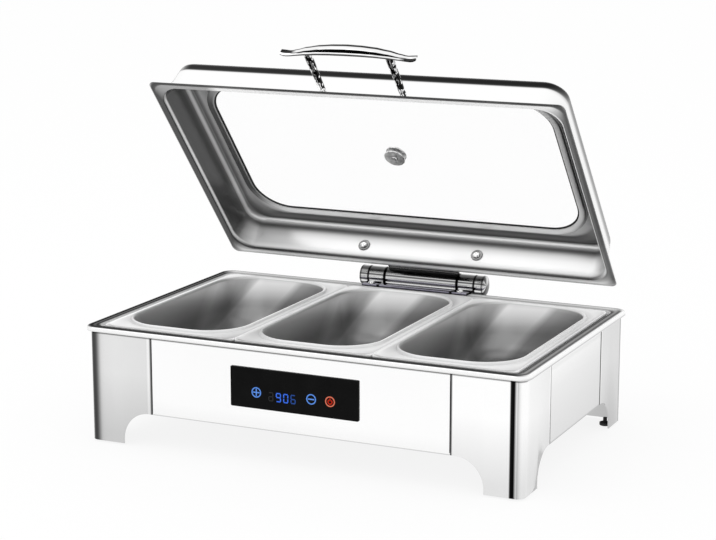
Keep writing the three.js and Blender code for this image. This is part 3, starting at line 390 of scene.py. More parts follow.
def mirrored(finish, roughness, spread, size=(0.02, 0.02, 0.02)):
    """A smooth surface, uneven in its roughness alone."""
    uneven(finish, roughness, spread, size)
    return finish


# Mesh helpers

@dataclass
class Line:
    """A rounded rectangle: size, corner radius, height, middle in Y, and the rounding of the turn at it."""
    width: float
    depth: float
    radius: float
    z: float = 0
    y: float = 0
    fillet: float = 0
    station: float = 0

    def inset(self, across, along=None, radius=None):
        along = across if along is None else along
        smaller = max(self.radius - max(across, along), CLEARANCE)
        return replace(self, width=self.width - across * 2, depth=self.depth - along * 2,
                       radius=smaller if radius is None else radius)

    def at(self, z, fillet=0):
        return replace(self, z=z, fillet=fillet)

    def toward(self, other, share):
        def between(name):
            return getattr(self, name) + (getattr(other, name) - getattr(self, name)) * share
        return Line(*(between(name) for name in ("width", "depth", "radius", "z", "y", "fillet", "station")))

    def gap(self, other):
        across = max(abs(self.width - other.width), abs(self.depth - other.depth)) / 2
        return math.hypot(across, self.z - other.z)


def eased(lines, wraps, steps=FILLET_STEPS):
    """Numbers the lines along the section and rounds it where a line asks for it."""
    numbered = [replace(line, station=i) for i, line in enumerate(lines)]
    result = []
    for i, line in enumerate(numbered):
        before = numbered[i - 1] if i or wraps else None
        after = numbered[(i + 1) % len(lines)] if i + 1 < len(lines) or wraps else None
        if not line.fillet or before is None or after is None:
            result.append(line)
            continue
        start = line.toward(before, min(line.fillet / max(line.gap(before), 0.01), 0.49))
        end = line.toward(after, min(line.fillet / max(line.gap(after), 0.01), 0.49))
        for step in range(steps + 1):
            share = step / steps
            result.append(start.toward(line, share).toward(line.toward(end, share), share))
    return result


def of_kind(geometry, kind):
    return [item for item in geometry if isinstance(item, kind)]


def drawn_out(bm, edges):
    """The points and edges of a ring drawn out from another."""
    drawn = bmesh.ops.extrude_edge_only(bm, edges=edges)["geom"]
    return of_kind(drawn, bmesh.types.BMVert), of_kind(drawn, bmesh.types.BMEdge)


def softened(bm, offset):
    """Rounds every edge."""
    bmesh.ops.bevel(bm, geom=bm.edges, offset=offset, segments=2, profile=0.5, affect="EDGES", material=-1)


def rounded_off(bm, verts, radius, steps):
    """Rounds the corners at some points of a flat face, and gives the new points."""
    return bmesh.ops.bevel(bm, geom=verts, offset=radius, offset_type="OFFSET", segments=steps, profile=0.5,
                           affect="VERTICES", material=-1)["verts"]


def first_ring(bm, path, corner, line, steps):
    """A rounded rectangle of edges, each point with its outward way and its corner."""
    x, y = line.width / 2, line.depth / 2
    corners = [bm.verts.new((i * x, j * y, 0)) for i, j in ((1, 1), (-1, 1), (-1, -1), (1, -1))]
    bm.faces.new(corners)
    rounded = rounded_off(bm, corners, line.radius, steps)
    for vert in rounded:
        sides = Vector((math.copysign(1, vert.co.x), math.copysign(1, vert.co.y), 0))
        way = vert.co - Vector((sides.x * (x - line.radius), sides.y * (y - line.radius), 0))
        vert[path] = way.normalized()
        vert[corner] = sides
    face = rounded[0].link_faces[0]
    edges = list(face.edges)
    bmesh.ops.delete(bm, geom=[face], context="FACES_ONLY")
    return rounded, edges


def lofted(lines, wraps=False, steps=CORNER_STEPS):
    """A skin drawn out from one rounded rectangle to the next, closed by caps or by wrapping round."""
    bm = bmesh.new()
    path = bm.verts.layers.float_vector.new("path")
    corner = bm.verts.layers.float_vector.new("corner")
    course = eased(lines, wraps)
    verts, edges = first_ring(bm, path, corner, course[0], steps)
    ends = [edges]
    for i, line in enumerate(course + (course[:1] if wraps else [])):
        if i:
            verts, edges = drawn_out(bm, edges)
        for vert in verts:
            way, sides = vert[path], vert[corner]
            vert.co = (sides.x * (line.width / 2 - line.radius) + way.x * line.radius,
                       line.y + sides.y * (line.depth / 2 - line.radius) + way.y * line.radius, line.z)
            vert[path] = (way.x, way.y, line.station / (len(lines) - 1))
    ends.append(edges)
    if wraps:
        bmesh.ops.remove_doubles(bm, verts=bm.verts, dist=0.0005)
    else:
        for loop in ends:
            bmesh.ops.contextual_create(bm, geom=loop)
    bm.verts.layers.float_vector.remove(corner)
    return bm


def turned(profile, place, way=(0, 0, 1), steps=SCREW_STEPS):
    """A body of revolution from radius and distance pairs along a way from a place."""
    bm = bmesh.new()
    verts = [bm.verts.new((radius, 0, distance)) for radius, distance in profile]
    edges = [bm.edges.new(pair) for pair in zip(verts, verts[1:])]
    bmesh.ops.spin(bm, geom=verts + edges, cent=(0, 0, 0), axis=(0, 0, 1), angle=math.tau, steps=steps,
                   use_merge=True)
    bmesh.ops.remove_doubles(bm, verts=bm.verts, dist=0.001)
    turn = Vector((0, 0, 1)).rotation_difference(Vector(way)).to_matrix().to_4x4()
    bm.transform(Matrix.Translation(place) @ turn)
    return bm


def block(x, y, z, edge=0.0):
    """A block between three pairs of limits, with rounded edges."""
    bm = bmesh.new()
    bmesh.ops.create_cube(bm, size=1)
    size = [high - low for low, high in (x, y, z)]
    middle = [(high + low) / 2 for low, high in (x, y, z)]
    bmesh.ops.scale(bm, vec=size, verts=bm.verts)
    bmesh.ops.translate(bm, vec=middle, verts=bm.verts)
    if edge:
        softened(bm, edge)
    return bm


def merged(*parts):
    """Several meshes as one."""
    whole = parts[0]
    for part in parts[1:]:
        mesh = bpy.data.meshes.new("joining")
        part.to_mesh(mesh)
        whole.from_mesh(mesh)
        bpy.data.meshes.remove(mesh)
        part.free()
    return whole


def linked(name, data):
    """A new object, in the scene."""
    made = bpy.data.objects.new(name, data)
    bpy.context.scene.collection.objects.link(made)
    return made


def finished(name, bm, finish, body, *nodes, place=to_row, recalculated=True):
    """Makes a mesh into a piece of the object that stands for its CAD nodes."""
    if recalculated:
        bmesh.ops.recalc_face_normals(bm, faces=bm.faces)
    bm.transform(place)
    mesh = bpy.data.meshes.new(name)
    bm.to_mesh(mesh)
    bm.free()
    mesh.shade_smooth()
    mesh.set_sharp_from_angle(angle=SHARP_ANGLE)
    mesh.materials.append(finish.material)
    piece = linked(name, mesh)
    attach(piece, body)
    if nodes:
        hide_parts(*nodes)
    return piece


def dressed(node, finish):
    """Gives a CAD node its material."""
    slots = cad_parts[node].material_slots
    for slot in slots:
        slot.material = finish.material
    if not slots:
        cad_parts[node].data.materials.append(finish.material)


# Finishes

METAL = {"Metallic": 1.0}
PLAIN = {"Metallic": 0.0}


def front_steel():
    """Mirror steel of the front and rear panels, almost white, with painted shade at the panel's foot and a
    painted shadow line under the rim's band.
    """
    finish = Finish("front steel", "polished", METAL)
    cloud = finish.noise((0.3, 0.3, 0.2), 1.2, 1.0)
    colour = finish.ramp(cloud, [(0.3, 0.985), (0.7, 1.0)])
    # Painted shade: darker at the panel's foot, and a dark shadow line just under the rim's band.
    height = finish.ramp(finish.part(finish.place(), "Z") / HEIGHT_SPAN, [
        (0.283, 0.72), (0.292, 0.98), (0.4, 1.0), (0.894, 1.0), (0.901, 0.5), (0.94, 0.5)])
    finish.feed("Base Color", finish.times(colour, height))
    return grained(finish, 0.14, 0.03)


def side_steel():
    """Mirror steel of the side panels, with painted reflections and shade: a little greyer towards the floor
    and the rear, darkest at the panel's foot.
    """
    finish = Finish("side steel", "polished", METAL)
    spot = finish.place()
    # Painted reflections and shade: greyer towards the floor and the rear, darkest at the panel's foot.
    height = finish.ramp(finish.part(spot, "Z") / HEIGHT_SPAN, [
        (0.283, 0.7), (0.3, 0.88), (0.5, 0.9), (0.7, 0.93), (0.84, 0.97), (0.87, 0.94), (0.92, 0.98)])
    depth = finish.ramp(finish.part(spot, "Y") / DEPTH_SPAN + 0.5, [
        (0.2, 1.0), (0.35, 0.99), (0.5, 0.98), (0.75, 0.955)])
    finish.feed("Base Color", finish.times(height, depth))
    return grained(finish, 0.14, 0.03)


def rim_steel():
    """Mirror steel of the rim's edge, and its softer top, with reflections and shade painted along its
    section.
    """
    finish = Finish("rim steel", "polished", {"Specular IOR Level": 0.0})
    # Painted reflections and shade along the section for each side: light bands on the edge, dark shade where
    # the top drops into the well.
    front = [
        (0, 0.6), (1, 0.85), (1.3, 0.97), (1.9, 0.98), (2, 0.85), (2.08, 0.6), (2.17, 0.35), (2.3, 0.2),
        (2.7, 0.22), (2.9, 0.3), (3, 0.45), (3.2, 0.3), (4, 0.4), (5, 0.4), (13, 0.6)]
    right = [
        (0, 0.6), (1, 0.76), (1.3, 0.82), (1.5, 0.98), (2.2, 1.0), (2.27, 0.76), (2.36, 0.42),
        (2.44, 0.36), (2.55, 0.52), (2.68, 0.62), (2.78, 0.5), (2.88, 0.3), (2.96, 0.33), (3.05, 0.6),
        (3.15, 0.85), (4, 0.9), (5, 0.6), (13, 0.6)]
    rear = [
        (0, 0.9), (1.9, 0.9), (2, 0.6), (2.2, 0.6), (2.4, 0.9), (2.7, 0.8), (2.9, 0.66), (3, 0.7),
        (3.1, 0.92), (4, 0.95), (5, 0.7), (13, 0.6)]
    left = [
        (0, 0.9), (1.8, 0.9), (2, 0.6), (2.12, 0.4), (2.2, 0.25), (2.31, 0.1), (2.4, 0.16), (2.56, 0.42),
        (2.64, 0.36), (2.75, 0.2), (2.8, 0.18), (2.88, 0.36), (2.96, 0.62), (3.05, 0.8), (3.3, 0.95),
        (4, 1.0), (5, 0.8), (13, 0.6)]
    finish.feed("Base Color", finish.sided(RIM_LAST, front, right, rear, left))
    finish.feed("Metallic", finish.along(RIM_LAST, [
        (0, 1.0), (1.95, 1.0), (2.08, 0.0), (4.5, 0.0), (RIM_LAST, 1.0)]))
    return grained(finish, 0.14, 0.02)


def leg_steel(name, stops):
    """Mirror steel of a leg, with reflections painted by the place along its strip: front or rear arm, bend
    at 0.5, side arm.
    """
    finish = Finish(name, "polished", METAL)
    # Painted reflections along the strip.
    colour = finish.ramp(finish.part(finish.path(), "Z"), stops)
    # Painted shade: darker towards the floor, and a dark shadow line just under the rim's band.
    height = finish.ramp(finish.part(finish.place(), "Z") / HEIGHT_SPAN, [
        (0.1, 0.9), (0.35, 0.95), (0.6, 1.0), (0.894, 1.0), (0.901, 0.55), (0.94, 0.55)])
    finish.feed("Base Color", finish.times(colour, height))
    return grained(finish, 0.14, 0.03)


def pan_steel(name, x):
    """Satin steel of a food pan, with painted light: a painted highlight on the bead, and painted shade
    darkening the basin with depth, crossed by two painted reflection streaks.
    """
    finish = Finish(name, "satin", {"Specular IOR Level": 0.1})
    # Painted reflections and shade along the section for each side: the bead's highlight and a dark line at
    # the mouth.
    front = [
        (0, 0.6), (5, 0.35), (5.6, 0.8), (6, 0.88), (6.1, 0.5), (6.2, 0.88), (6.5, 0.93), (6.9, 0.95),
        (7, 0.86), (8.5, 0.88), (10, 1.0), (12, 1.0), (12.8, 0.95), (13, 0.4), (13.1, 0.8), (13.3, 0.9),
        (15, 0.95)]
    right = [
        (0, 0.6), (5, 0.6), (5.6, 1.0), (6, 1.0), (6.15, 0.85), (6.6, 0.96), (7, 0.9), (8.5, 0.88),
        (10, 1.0), (12, 0.95), (13, 0.5), (13.15, 0.85), (13.6, 1.0), (14.2, 1.0), (15, 0.95)]
    rear = [
        (0, 0.6), (5, 0.6), (5.6, 0.8), (6, 0.95), (6.5, 0.98), (7, 0.9), (8.5, 0.82), (10, 1.0),
        (12, 0.96), (13, 0.85), (13.2, 1.0), (13.6, 1.0), (14.2, 0.98), (15, 0.95)]
    left = [
        (0, 0.6), (5, 0.6), (5.6, 0.95), (6, 1.0), (6.3, 1.0), (6.6, 0.9), (7, 0.8), (8.5, 0.68),
        (10, 0.8), (12, 0.65), (13, 0.7), (13.3, 0.85), (14.2, 0.9), (15, 0.95)]
    colour = finish.sided(PAN_LAST, front, right, rear, left)
    rear_edge = (to_row @ Vector((0, WELL_SHIFT + PAN_OPENING[1] / 2, 0))).y
    spot = finish.place(centre=(x * MM, rear_edge, PAN_TOP * MM))
    parts = [finish.part(spot, axis) for axis in "XYZ"]

    def run(way):
        return parts[0] * way[0] + parts[1] * way[1] + parts[2] * way[2]

    # Two painted reflection streaks across the basin, near and far.
    near = finish.ramp(run(NEAR_REFLECTION) / REFLECTION_SPAN + 0.7, [
        (0.05, 1.0), (0.14, 1.0), (0.2, 0.95), (0.25, 0.9), (0.31, 0.87), (0.36, 1.0), (0.4, 0.93),
        (0.45, 0.84), (0.5, 0.86), (0.54, 0.97), (0.575, 1.0)])
    far = finish.ramp(run(FAR_REFLECTION) / REFLECTION_SPAN + 0.7, [
        (0.15, 1.0), (0.3, 0.95), (0.4, 0.87), (0.51, 0.82), (0.545, 0.88), (0.565, 1.0), (0.6, 0.97),
        (0.76, 0.97), (0.81, 0.7), (0.87, 0.64)])
    # Painted shade, darker with depth in the basin.
    basin_shade = finish.ramp(run(BASIN_SHADE_WAY) / SHADE_SPAN, [
        (0.04, 1.0), (0.14, 0.95), (0.24, 0.87), (0.34, 0.76), (0.44, 0.7), (0.54, 0.67), (0.64, 0.65),
        (0.83, 0.6), (1.0, 0.56)])
    inside = finish.along(PAN_LAST, [(0, 0.0), (12.9, 0.0), (13.05, 1.0), (PAN_LAST, 1.0)])
    finish.feed("Base Color", finish.mix(inside, colour, finish.times(finish.times(near, far), basin_shade)))
    finish.feed("Metallic", inside * 0.38 + 0.32)
    return mirrored(finish, 0.36, 0.04, (0.1, 0.1, 0.1))


def lid_steel():
    """Mirror steel of the lid outside, softer inside, in painted reflection and shade bands that follow its
    bends.
    """
    finish = Finish("lid steel", "polished", METAL)
    # Painted reflections and shade along the section for each side.
    front = [
        (0, 0.97), (1, 0.95), (2, 0.9), (3, 0.6), (3.9, 0.6), (4, 1.0), (4.58, 1.0), (4.66, 0.45),
        (4.85, 0.33), (5, 0.35), (6, 0.35), (6.03, 0.95), (7, 1.0), (7.69, 1.0), (7.725, 0.3),
        (7.745, 0.08), (7.9, 0.05), (8.3, 0.2), (8.4, 0.9), (11, 0.95)]
    right = [
        (0, 1.0), (0.4, 0.9), (0.6, 0.75), (0.72, 0.3), (0.82, 0.12), (0.93, 0.2), (1, 0.6), (3.9, 0.6),
        (3.97, 1.0), (4.08, 1.0), (4.17, 0.42), (4.3, 0.5), (4.6, 0.38), (4.85, 0.46), (4.97, 0.8),
        (5, 0.97), (6, 0.95), (7, 0.98), (7.3, 0.93), (7.6, 0.97), (7.69, 0.8), (7.75, 0.4),
        (7.84, 0.22), (7.95, 0.3), (8.35, 0.5), (8.6, 0.95), (11, 0.95)]
    rear = [
        (0, 0.75), (0.15, 1.0), (0.7, 1.0), (0.95, 0.95), (1, 0.8), (1.2, 1.0), (2, 1.0), (2.25, 0.85),
        (2.35, 0.42), (2.6, 0.52), (2.85, 0.3), (2.93, 0.85), (3.0, 1.0), (3.1, 0.9), (3.16, 0.42),
        (3.24, 0.4), (3.3, 0.68), (3.38, 0.85), (3.55, 0.97), (3.7, 1.0), (3.86, 1.0), (3.92, 0.8),
        (3.95, 0.2), (4.02, 0.14), (4.08, 0.3), (4.15, 0.75), (4.5, 1.0), (5, 0.72), (6, 0.7),
        (11, 0.95)]
    left = [
        (0, 0.66), (0.1, 0.6), (0.25, 0.28), (0.6, 0.4), (0.95, 0.44), (1, 0.6), (2, 0.9), (2.4, 0.9),
        (2.6, 0.62), (2.75, 0.5), (2.85, 0.62), (2.95, 0.5), (3.04, 1.0), (3.12, 1.0), (3.17, 0.5),
        (3.3, 0.37), (3.5, 0.3), (3.88, 0.24), (3.905, 0.95), (3.95, 1.0), (3.965, 0.25), (4, 0.16),
        (4.2, 0.2), (4.85, 0.2), (4.93, 0.7), (5, 1.0), (5.05, 0.4), (6, 0.4), (6.05, 0.9), (11, 0.95)]
    # Painted shade on the lid's inner side at its left end, where it faces the front.
    west = finish.ramp(finish.part(finish.place(), "X") / LID_SPAN + 0.5, [
        (0.0, 1.0), (0.19, 1.0), (0.215, 0.0), (1.0, 0.0)])
    inner = finish.along(LID_LAST, [(0, 1.0), (4.9, 1.0), (4.97, 0.0), (LID_LAST, 0.0)])
    shade = 1 - (0 - finish.part(finish.path(), "Y")).above(0.0) * west * inner * 0.6
    finish.feed("Base Color", finish.scaled(finish.sided(LID_LAST, front, right, rear, left), shade))
    finish.feed("Metallic", finish.along(LID_LAST, [
        (0, 0.6), (3.75, 0.6), (3.9, 0.0), (4.6, 0.0), (4.75, 0.6), (4.9, 0.6), (5, 1.0), (8.6, 1.0),
        (LID_LAST, 0.9)]))
    grain = finish.noise((0.1, 0.1, 0.1), 3.0, 2.0)
    finish.feed("Roughness", finish.along(LID_LAST, [
        (0, 0.5), (4.9, 0.5), (5, 0.36), (LID_LAST, 0.36)]) + (grain - 0.5) * 0.04)
    finish.bump(grain, 0.02)
    return finish


def barrel_chrome():
    """Chrome of the hinge barrel: painted reflections in dark, white and slate bands round its axis, with
    black painted shade across it where the knuckles meet.
    """
    finish = Finish("barrel chrome", "hinge_chrome", METAL)
    spot = finish.place(centre=tuple(to_row @ HINGE))
    up, back = finish.part(spot, "Z"), finish.part(spot, "Y")
    turn = finish.node("ShaderNodeMath", {"operation": "ARCTAN2"}, {0: up, 1: 0 - back}) / math.tau + 0.5
    # Painted reflections, by the turn round the barrel's axis.
    colour = finish.ramp(turn, [
        (0.0, 0.5), (0.3, 0.3), (0.36, 0.15), (0.4, 0.2), (0.415, 0.75), (0.43, 0.98), (0.45, 0.9),
        (0.46, 0.35), (0.475, (0.55, 0.54, 0.6)), (0.5, 0.95), (0.53, 0.8), (0.55, 0.2), (0.57, 0.6),
        (0.6, 0.85), (0.64, 0.3), (0.7, 0.4), (0.74, 0.8), (0.8, 0.95), (1.0, 0.5)])
    along = finish.part(finish.place(), "X")
    out = finish.node("ShaderNodeMath", {"operation": "ABSOLUTE"}, {0: along}) / BARREL_REACH
    # Painted shade: black rings where the knuckles meet, and a darker ring where the cap's dome starts.
    seam_shade = finish.ramp(out, [
        (0.485, 1.0), (0.495, 0.06), (0.525, 0.06), (0.535, 1.0), (0.725, 1.0), (0.735, 0.06),
        (0.752, 0.06), (0.762, 1.0), (0.84, 1.0), (0.85, 0.3), (0.87, 0.9)])
    finish.feed("Base Color", finish.times(colour, seam_shade))
    return grained(finish, 0.12, 0.03)


def plated(name, stops, surface, roughness, spread, size=0.02, detail=2.0):
    """Chrome of a small part, in a cloud of tones."""
    finish = Finish(name, "hinge_chrome", METAL)
    finish.feed("Base Color", finish.ramp(finish.noise((size, size, size), 2.0, detail), stops))
    return surface(finish, roughness, spread, (size, size, size))


def handle_chrome():
    """Chrome of the handle bar, with painted reflections: white between dark edges, with a long dark lens and
    dark tips.
    """
    finish = Finish("handle chrome", "hinge_chrome", METAL)
    path = finish.path()
    up, out, along = (finish.part(path, axis) for axis in "XYZ")
    height = up * 0.5 + 0.5
    # Painted reflections: dark edges above and below a white band.
    edge = finish.ramp(height, [
        (0.0, 0.3), (0.03, 0.4), (0.05, 0.96), (0.67, 0.97), (0.7, 0.3), (0.74, 0.08), (1.0, 0.12)])
    middle = along * 2 - 1
    # Painted reflection: a long dark lens on the front face.
    lens = finish.ramp(middle * middle * 1.3 + (up + 0.51) * (up + 0.51) * 12, [
        (0.0, 0.0), (0.7, 0.03), (0.9, 0.4), (1.0, 1.0)])
    face = finish.ramp(out * 0.5 + 0.5, [(0.0, 0.0), (0.5, 0.0), (0.56, 1.0), (1.0, 1.0)])
    # Painted reflections: dark tips at both ends.
    near = finish.ramp(along, [
        (0.0, 1.0), (0.08, 1.0), (0.12, 0.0), (1.0, 0.0)]) * finish.ramp(height, [(0.25, 0.0), (0.35, 1.0)])
    far = finish.ramp(along, [
        (0.0, 0.0), (0.88, 0.0), (0.92, 1.0), (1.0, 1.0)]) * finish.ramp(height, [(0.32, 1.0), (0.42, 0.0)])
    colour = finish.mix(face, edge, finish.times(edge, lens))
    finish.feed("Base Color", finish.scaled(colour, (1 - near * 0.97) * (1 - far * 0.97)))
    return mirrored(finish, 0.1, 0.02)


def post_chrome():
    """Chrome of the posts, with painted reflections broken into black and white."""
    finish = Finish("post chrome", "hinge_chrome", METAL)
    cloud = finish.noise((0.0022, 0.006, 0.008), 1.0, 2.0)
    finish.feed("Base Color", finish.ramp(cloud, [
        (0.3, 0.04), (0.5, 0.1), (0.54, 0.95), (0.6, 1.0), (0.66, 0.3), (0.75, 0.9)]))
    return mirrored(finish, 0.12, 0.03)


def satin_steel():
    finish = Finish("satin steel", "satin", METAL)
    streak = finish.noise((0.2, 0.004, 0.2), 4.0, 3.0)
    finish.feed("Base Color", finish.ramp(streak, [(0.3, 0.6), (0.7, 0.72)]))
    return grained(finish, 0.34, 0.1)


def flecked(name, slot, low, high, kind=PLAIN, scale=6.0, detail=4.0, roughness=0.4, strength=0.15):
    """Moulded plastic, ceramic, rubber or cast metal, between two tones."""
    finish = Finish(name, slot, kind)
    fleck = finish.noise((0.01, 0.01, 0.01), scale, detail)
    finish.feed("Base Color", finish.ramp(fleck, [(0.3, low), (0.7, high)]))
    finish.feed("Roughness", fleck * 0.2 + roughness)
    finish.bump(fleck, strength)
    return finish


def panel_glass():
    finish = Finish("panel glass", "black_glass", dict(PLAIN, **{"IOR": 1.5, "Specular IOR Level": 0.04}))
    haze = finish.noise((0.05, 0.05, 0.05), 2.0, 2.0)
    finish.feed("Base Color", finish.ramp(haze, [(0.3, 0.045), (0.7, 0.06)]))
    finish.feed("Roughness", haze * 0.04 + 0.1)
    return finish


def lid_glass():
    """Clear glass, all but unseen."""
    finish = Finish("lid glass", "clear_glass", dict(PLAIN, **{"IOR": 1.45}))
    haze = finish.noise((0.3, 0.3, 0.3), 2.0, 2.0)
    finish.feed("Base Color", finish.ramp(haze, [(0.3, 0.97), (0.7, 0.99)]))
    finish.feed("Roughness", haze * 0.02 + 0.02)
    finish.feed("Alpha", haze * 0.01 + 0.01)
    finish.material.surface_render_method = "BLENDED"
    return finish


def lit_mark(name, low, high):
    """A mark that glows through the panel's glass."""
    constants = {"Emission Strength": 1.0, "Roughness": 0.5, "Specular IOR Level": 0.0}
    finish = Finish(name, "black_glass", dict(PLAIN, **constants))
    glow = finish.noise((0.004, 0.004, 0.004), 3.0, 2.0)
    finish.feed("Emission Color", finish.ramp(glow, [(0.3, low), (0.7, high)]))
    finish.feed("Base Color", finish.ramp(glow, [(0.3, 0.02), (0.7, 0.04)]))
    return finish


# Housing

def top_rim():
    outer = Line(HOUSING_WIDTH, HOUSING_DEPTH, RIM_RADIUS)
    well = Line(WELL_WIDTH, WELL_DEPTH, WELL_RADIUS, y=WELL_SHIFT)
    mouth = Line(*RIM_MOUTH, y=WELL_SHIFT)
    skirt = outer.inset(RIM_OVERHANG + SHEET + CLEARANCE)
    underside = HOUSING_TOP - SHEET
    band = HOUSING_TOP - RIM_BAND
    return lofted([
        outer.inset(SHEET).at(band),
        outer.at(band, 0.6),
        outer.at(HOUSING_TOP, RIM_EDGE),
        well.at(HOUSING_TOP, 0.8),
        well.at(LEDGE_TOP, 0.8),
        mouth.at(LEDGE_TOP, 0.5),
        mouth.at(LEDGE_TOP - SHEET),
        well.inset(-SHEET).at(LEDGE_TOP - SHEET),
        well.inset(-SHEET).at(underside),
        skirt.inset(SHEET).at(underside),
        skirt.inset(SHEET).at(underside - RIM_SKIRT),
        skirt.at(underside - RIM_SKIRT),
        skirt.at(underside),
        outer.inset(SHEET).at(underside),
    ], wraps=True)


def leg(side_x, side_y):
    """One corner leg: a flat strip with its arched opening, bent round the corner."""
    bend = LEG_RADIUS * math.pi / 2
    arm = LEG_ARM - LEG_RADIUS + bend / 2
    foot = FOOT_ARM - LEG_RADIUS + bend / 2
    bm = bmesh.new()
    path = bm.verts.layers.float_vector.new("path")
    outline = [(-arm, PANEL_TOP), (-arm, PANEL_BOTTOM), (-foot, PANEL_BOTTOM), (-foot, LEG_LIFT),
               (foot, LEG_LIFT), (foot, PANEL_BOTTOM), (arm, PANEL_BOTTOM), (arm, PANEL_TOP)]
    verts = [bm.verts.new((s, 0, z)) for s, z in outline]
    bm.faces.new(verts)
    rounded_off(bm, [verts[2], verts[5]], LEG_ARCH, ARCH_STEPS)
    cuts = [bend * (i / CORNER_STEPS - 0.5) for i in range(CORNER_STEPS + 1)]
    cuts += [-foot, foot, -foot - LEG_ARCH, foot + LEG_ARCH]
    for cut in cuts:
        geometry = bm.verts[:] + bm.edges[:] + bm.faces[:]
        bmesh.ops.bisect_plane(bm, geom=geometry, dist=0.0001, plane_co=(cut, 0, 0), plane_no=(1, 0, 0))
    for vert in bm.verts:
        run = vert.co.x
        angle = min(max(run / bend + 0.5, 0), 1) * math.pi / 2
        straight = run - min(max(run, -bend / 2), bend / 2)
        way = Vector((math.sin(angle), math.cos(angle)))
        x = FACE_X - LEG_RADIUS + LEG_RADIUS * way.x + min(straight, 0)
        y = FACE_Y - LEG_RADIUS + LEG_RADIUS * way.y - max(straight, 0)
        vert.co = (side_x * x, side_y * y, vert.co.z)
        vert[path] = (side_x * way.x, side_y * way.y, run / arm / 2 + 0.5)
    bmesh.ops.recalc_face_normals(bm, faces=bm.faces)
    outward = Vector((side_x, side_y, 0))
    if sum(face.normal.dot(outward) for face in bm.faces) < 0:
        bmesh.ops.reverse_faces(bm, faces=bm.faces)
    return bm


def add_leg(name, side_x, side_y, finish):
    piece = finished(name, leg(side_x, side_y), finish, "base", name, recalculated=False)
    wall = piece.modifiers.new("wall", "SOLIDIFY")
    wall.thickness = SHEET * MM
    wall.offset = -1
    edge = piece.modifiers.new("edge", "BEVEL")
    edge.width = 0.25 * MM
    edge.segments = 2
    edge.limit_method = "ANGLE"
    edge.angle_limit = math.radians(50)


def rubber_foot(side_x, side_y):
    top = FOOT_HEIGHT
    profile = [
        (0, 0), (FOOT_RADIUS - 1.4, 0), (FOOT_RADIUS - 0.4, 0.4), (FOOT_RADIUS, 1.4),
        (FOOT_RADIUS, top - 0.4), (FOOT_RADIUS - 0.4, top), (2.5, top), (2.5, top + 6), (0, top + 6)]
    return turned(profile, (side_x * (FACE_X - FOOT_INSET_X), side_y * (FACE_Y - FOOT_INSET_Y), 0))


# Pans

def food_pan(x):
    flange = Line(*PAN_FLANGE, y=WELL_SHIFT)
    mouth = Line(*PAN_OPENING, y=WELL_SHIFT)
    bead_width, bead_height = PAN_BEAD

    def sunk(line, depth):
        across, along = PAN_SLOPE_X * depth, PAN_SLOPE_Y * depth
        return line.inset(across, along, line.radius - across).at(PAN_TOP - depth)

    outside = mouth.inset(-PAN_SHEET)
    inner_bottom = replace(sunk(mouth, PAN_DEPTH), fillet=PAN_FILLET)
    outer_bottom = replace(sunk(outside, PAN_DEPTH + PAN_SHEET), fillet=PAN_FILLET + PAN_SHEET)
    bead = []
    for step in range(BEAD_STEPS + 1):
        angle = math.pi * step / BEAD_STEPS
        out = bead_width * (1 + math.cos(angle)) / 2
        bead.append(mouth.inset(-out).at(PAN_TOP + bead_height * math.sin(angle)))
    bm = lofted([
        outer_bottom.inset(PAN_FILLET + 8).at(outer_bottom.z),
        outer_bottom,
        outside.at(PAN_TOP - PAN_SHEET, 1),
        flange.inset(PAN_SHEET).at(PAN_TOP - PAN_SHEET),
        flange.inset(PAN_SHEET).at(PAN_TOP - PAN_LIP),
        flange.at(PAN_TOP - PAN_LIP),
        flange.at(PAN_TOP, 0.9),
        *bead,
        inner_bottom,
        inner_bottom.inset(PAN_FILLET + 8).at(inner_bottom.z),
    ])
    bmesh.ops.translate(bm, vec=(x, 0, 0), verts=bm.verts)
    return bm


# Lid

def lid_shell():
    flange = Line(*LID_FLANGE, z=LID_Z, y=LID_SHIFT)
    foot = flange.inset(LID_FLANGE_WIDTH - LID_SHEET, radius=LID_WALL_RADIUS)
    top = foot.inset(LID_SLOPE_X, LID_SLOPE_Y)
    window = Line(*LID_WINDOW, z=LEDGE_Z, y=LID_SHIFT)
    recess = window.inset(-LID_LEDGE)
    return lofted([
        window.at(LEDGE_Z - LID_SHEET, 0.2),
        recess.inset(-LID_SHEET).at(LEDGE_Z - LID_SHEET, 1.2),
        recess.inset(-LID_SHEET).at(LID_TOP - LID_SHEET, 1.2),
        top.inset(LID_SHEET).at(LID_TOP - LID_SHEET, LID_EDGE - LID_SHEET),
        foot.inset(LID_SHEET).at(LID_Z, 1.2),
        flange.at(LID_Z, 0.3),
        flange.at(LID_Z + LID_SHEET, 0.3),
        foot.at(LID_Z + LID_SHEET, 1.2),
        top.at(LID_TOP, LID_EDGE),
        recess.at(LID_TOP, 0.4),
        recess.at(LEDGE_Z, 0.4),
        window.at(LEDGE_Z, 0.2),
    ], wraps=True)


def pane():
    outer = Line(*LID_WINDOW, y=LID_SHIFT).inset(CLEARANCE - LID_LEDGE)
    hole = Line(VENT_HOLE * 2, VENT_HOLE * 2, VENT_HOLE - 0.01, y=LID_SHIFT)
    base = LID_TOP - GLASS_THICK
    return lofted([hole.at(base), outer.at(base, 0.4), outer.at(LID_TOP, 0.4), hole.at(LID_TOP)], wraps=True)


def seal():
    outer = Line(*LID_WINDOW, y=LID_SHIFT).inset(CLEARANCE - LID_LEDGE)
    inner = Line(*LID_WINDOW, y=LID_SHIFT).inset(SEAL_SHOW)
    base = LEDGE_Z + CLEARANCE
    top = base + SEAL_THICK
    return lofted([inner.at(base, 0.2), outer.at(base), outer.at(top), inner.at(top, 0.2)], wraps=True)


WALL_RUN = LID_HEIGHT - LID_EDGE - LID_SHEET
WALL_LEAN = math.atan2(LID_SLOPE_Y, WALL_RUN)


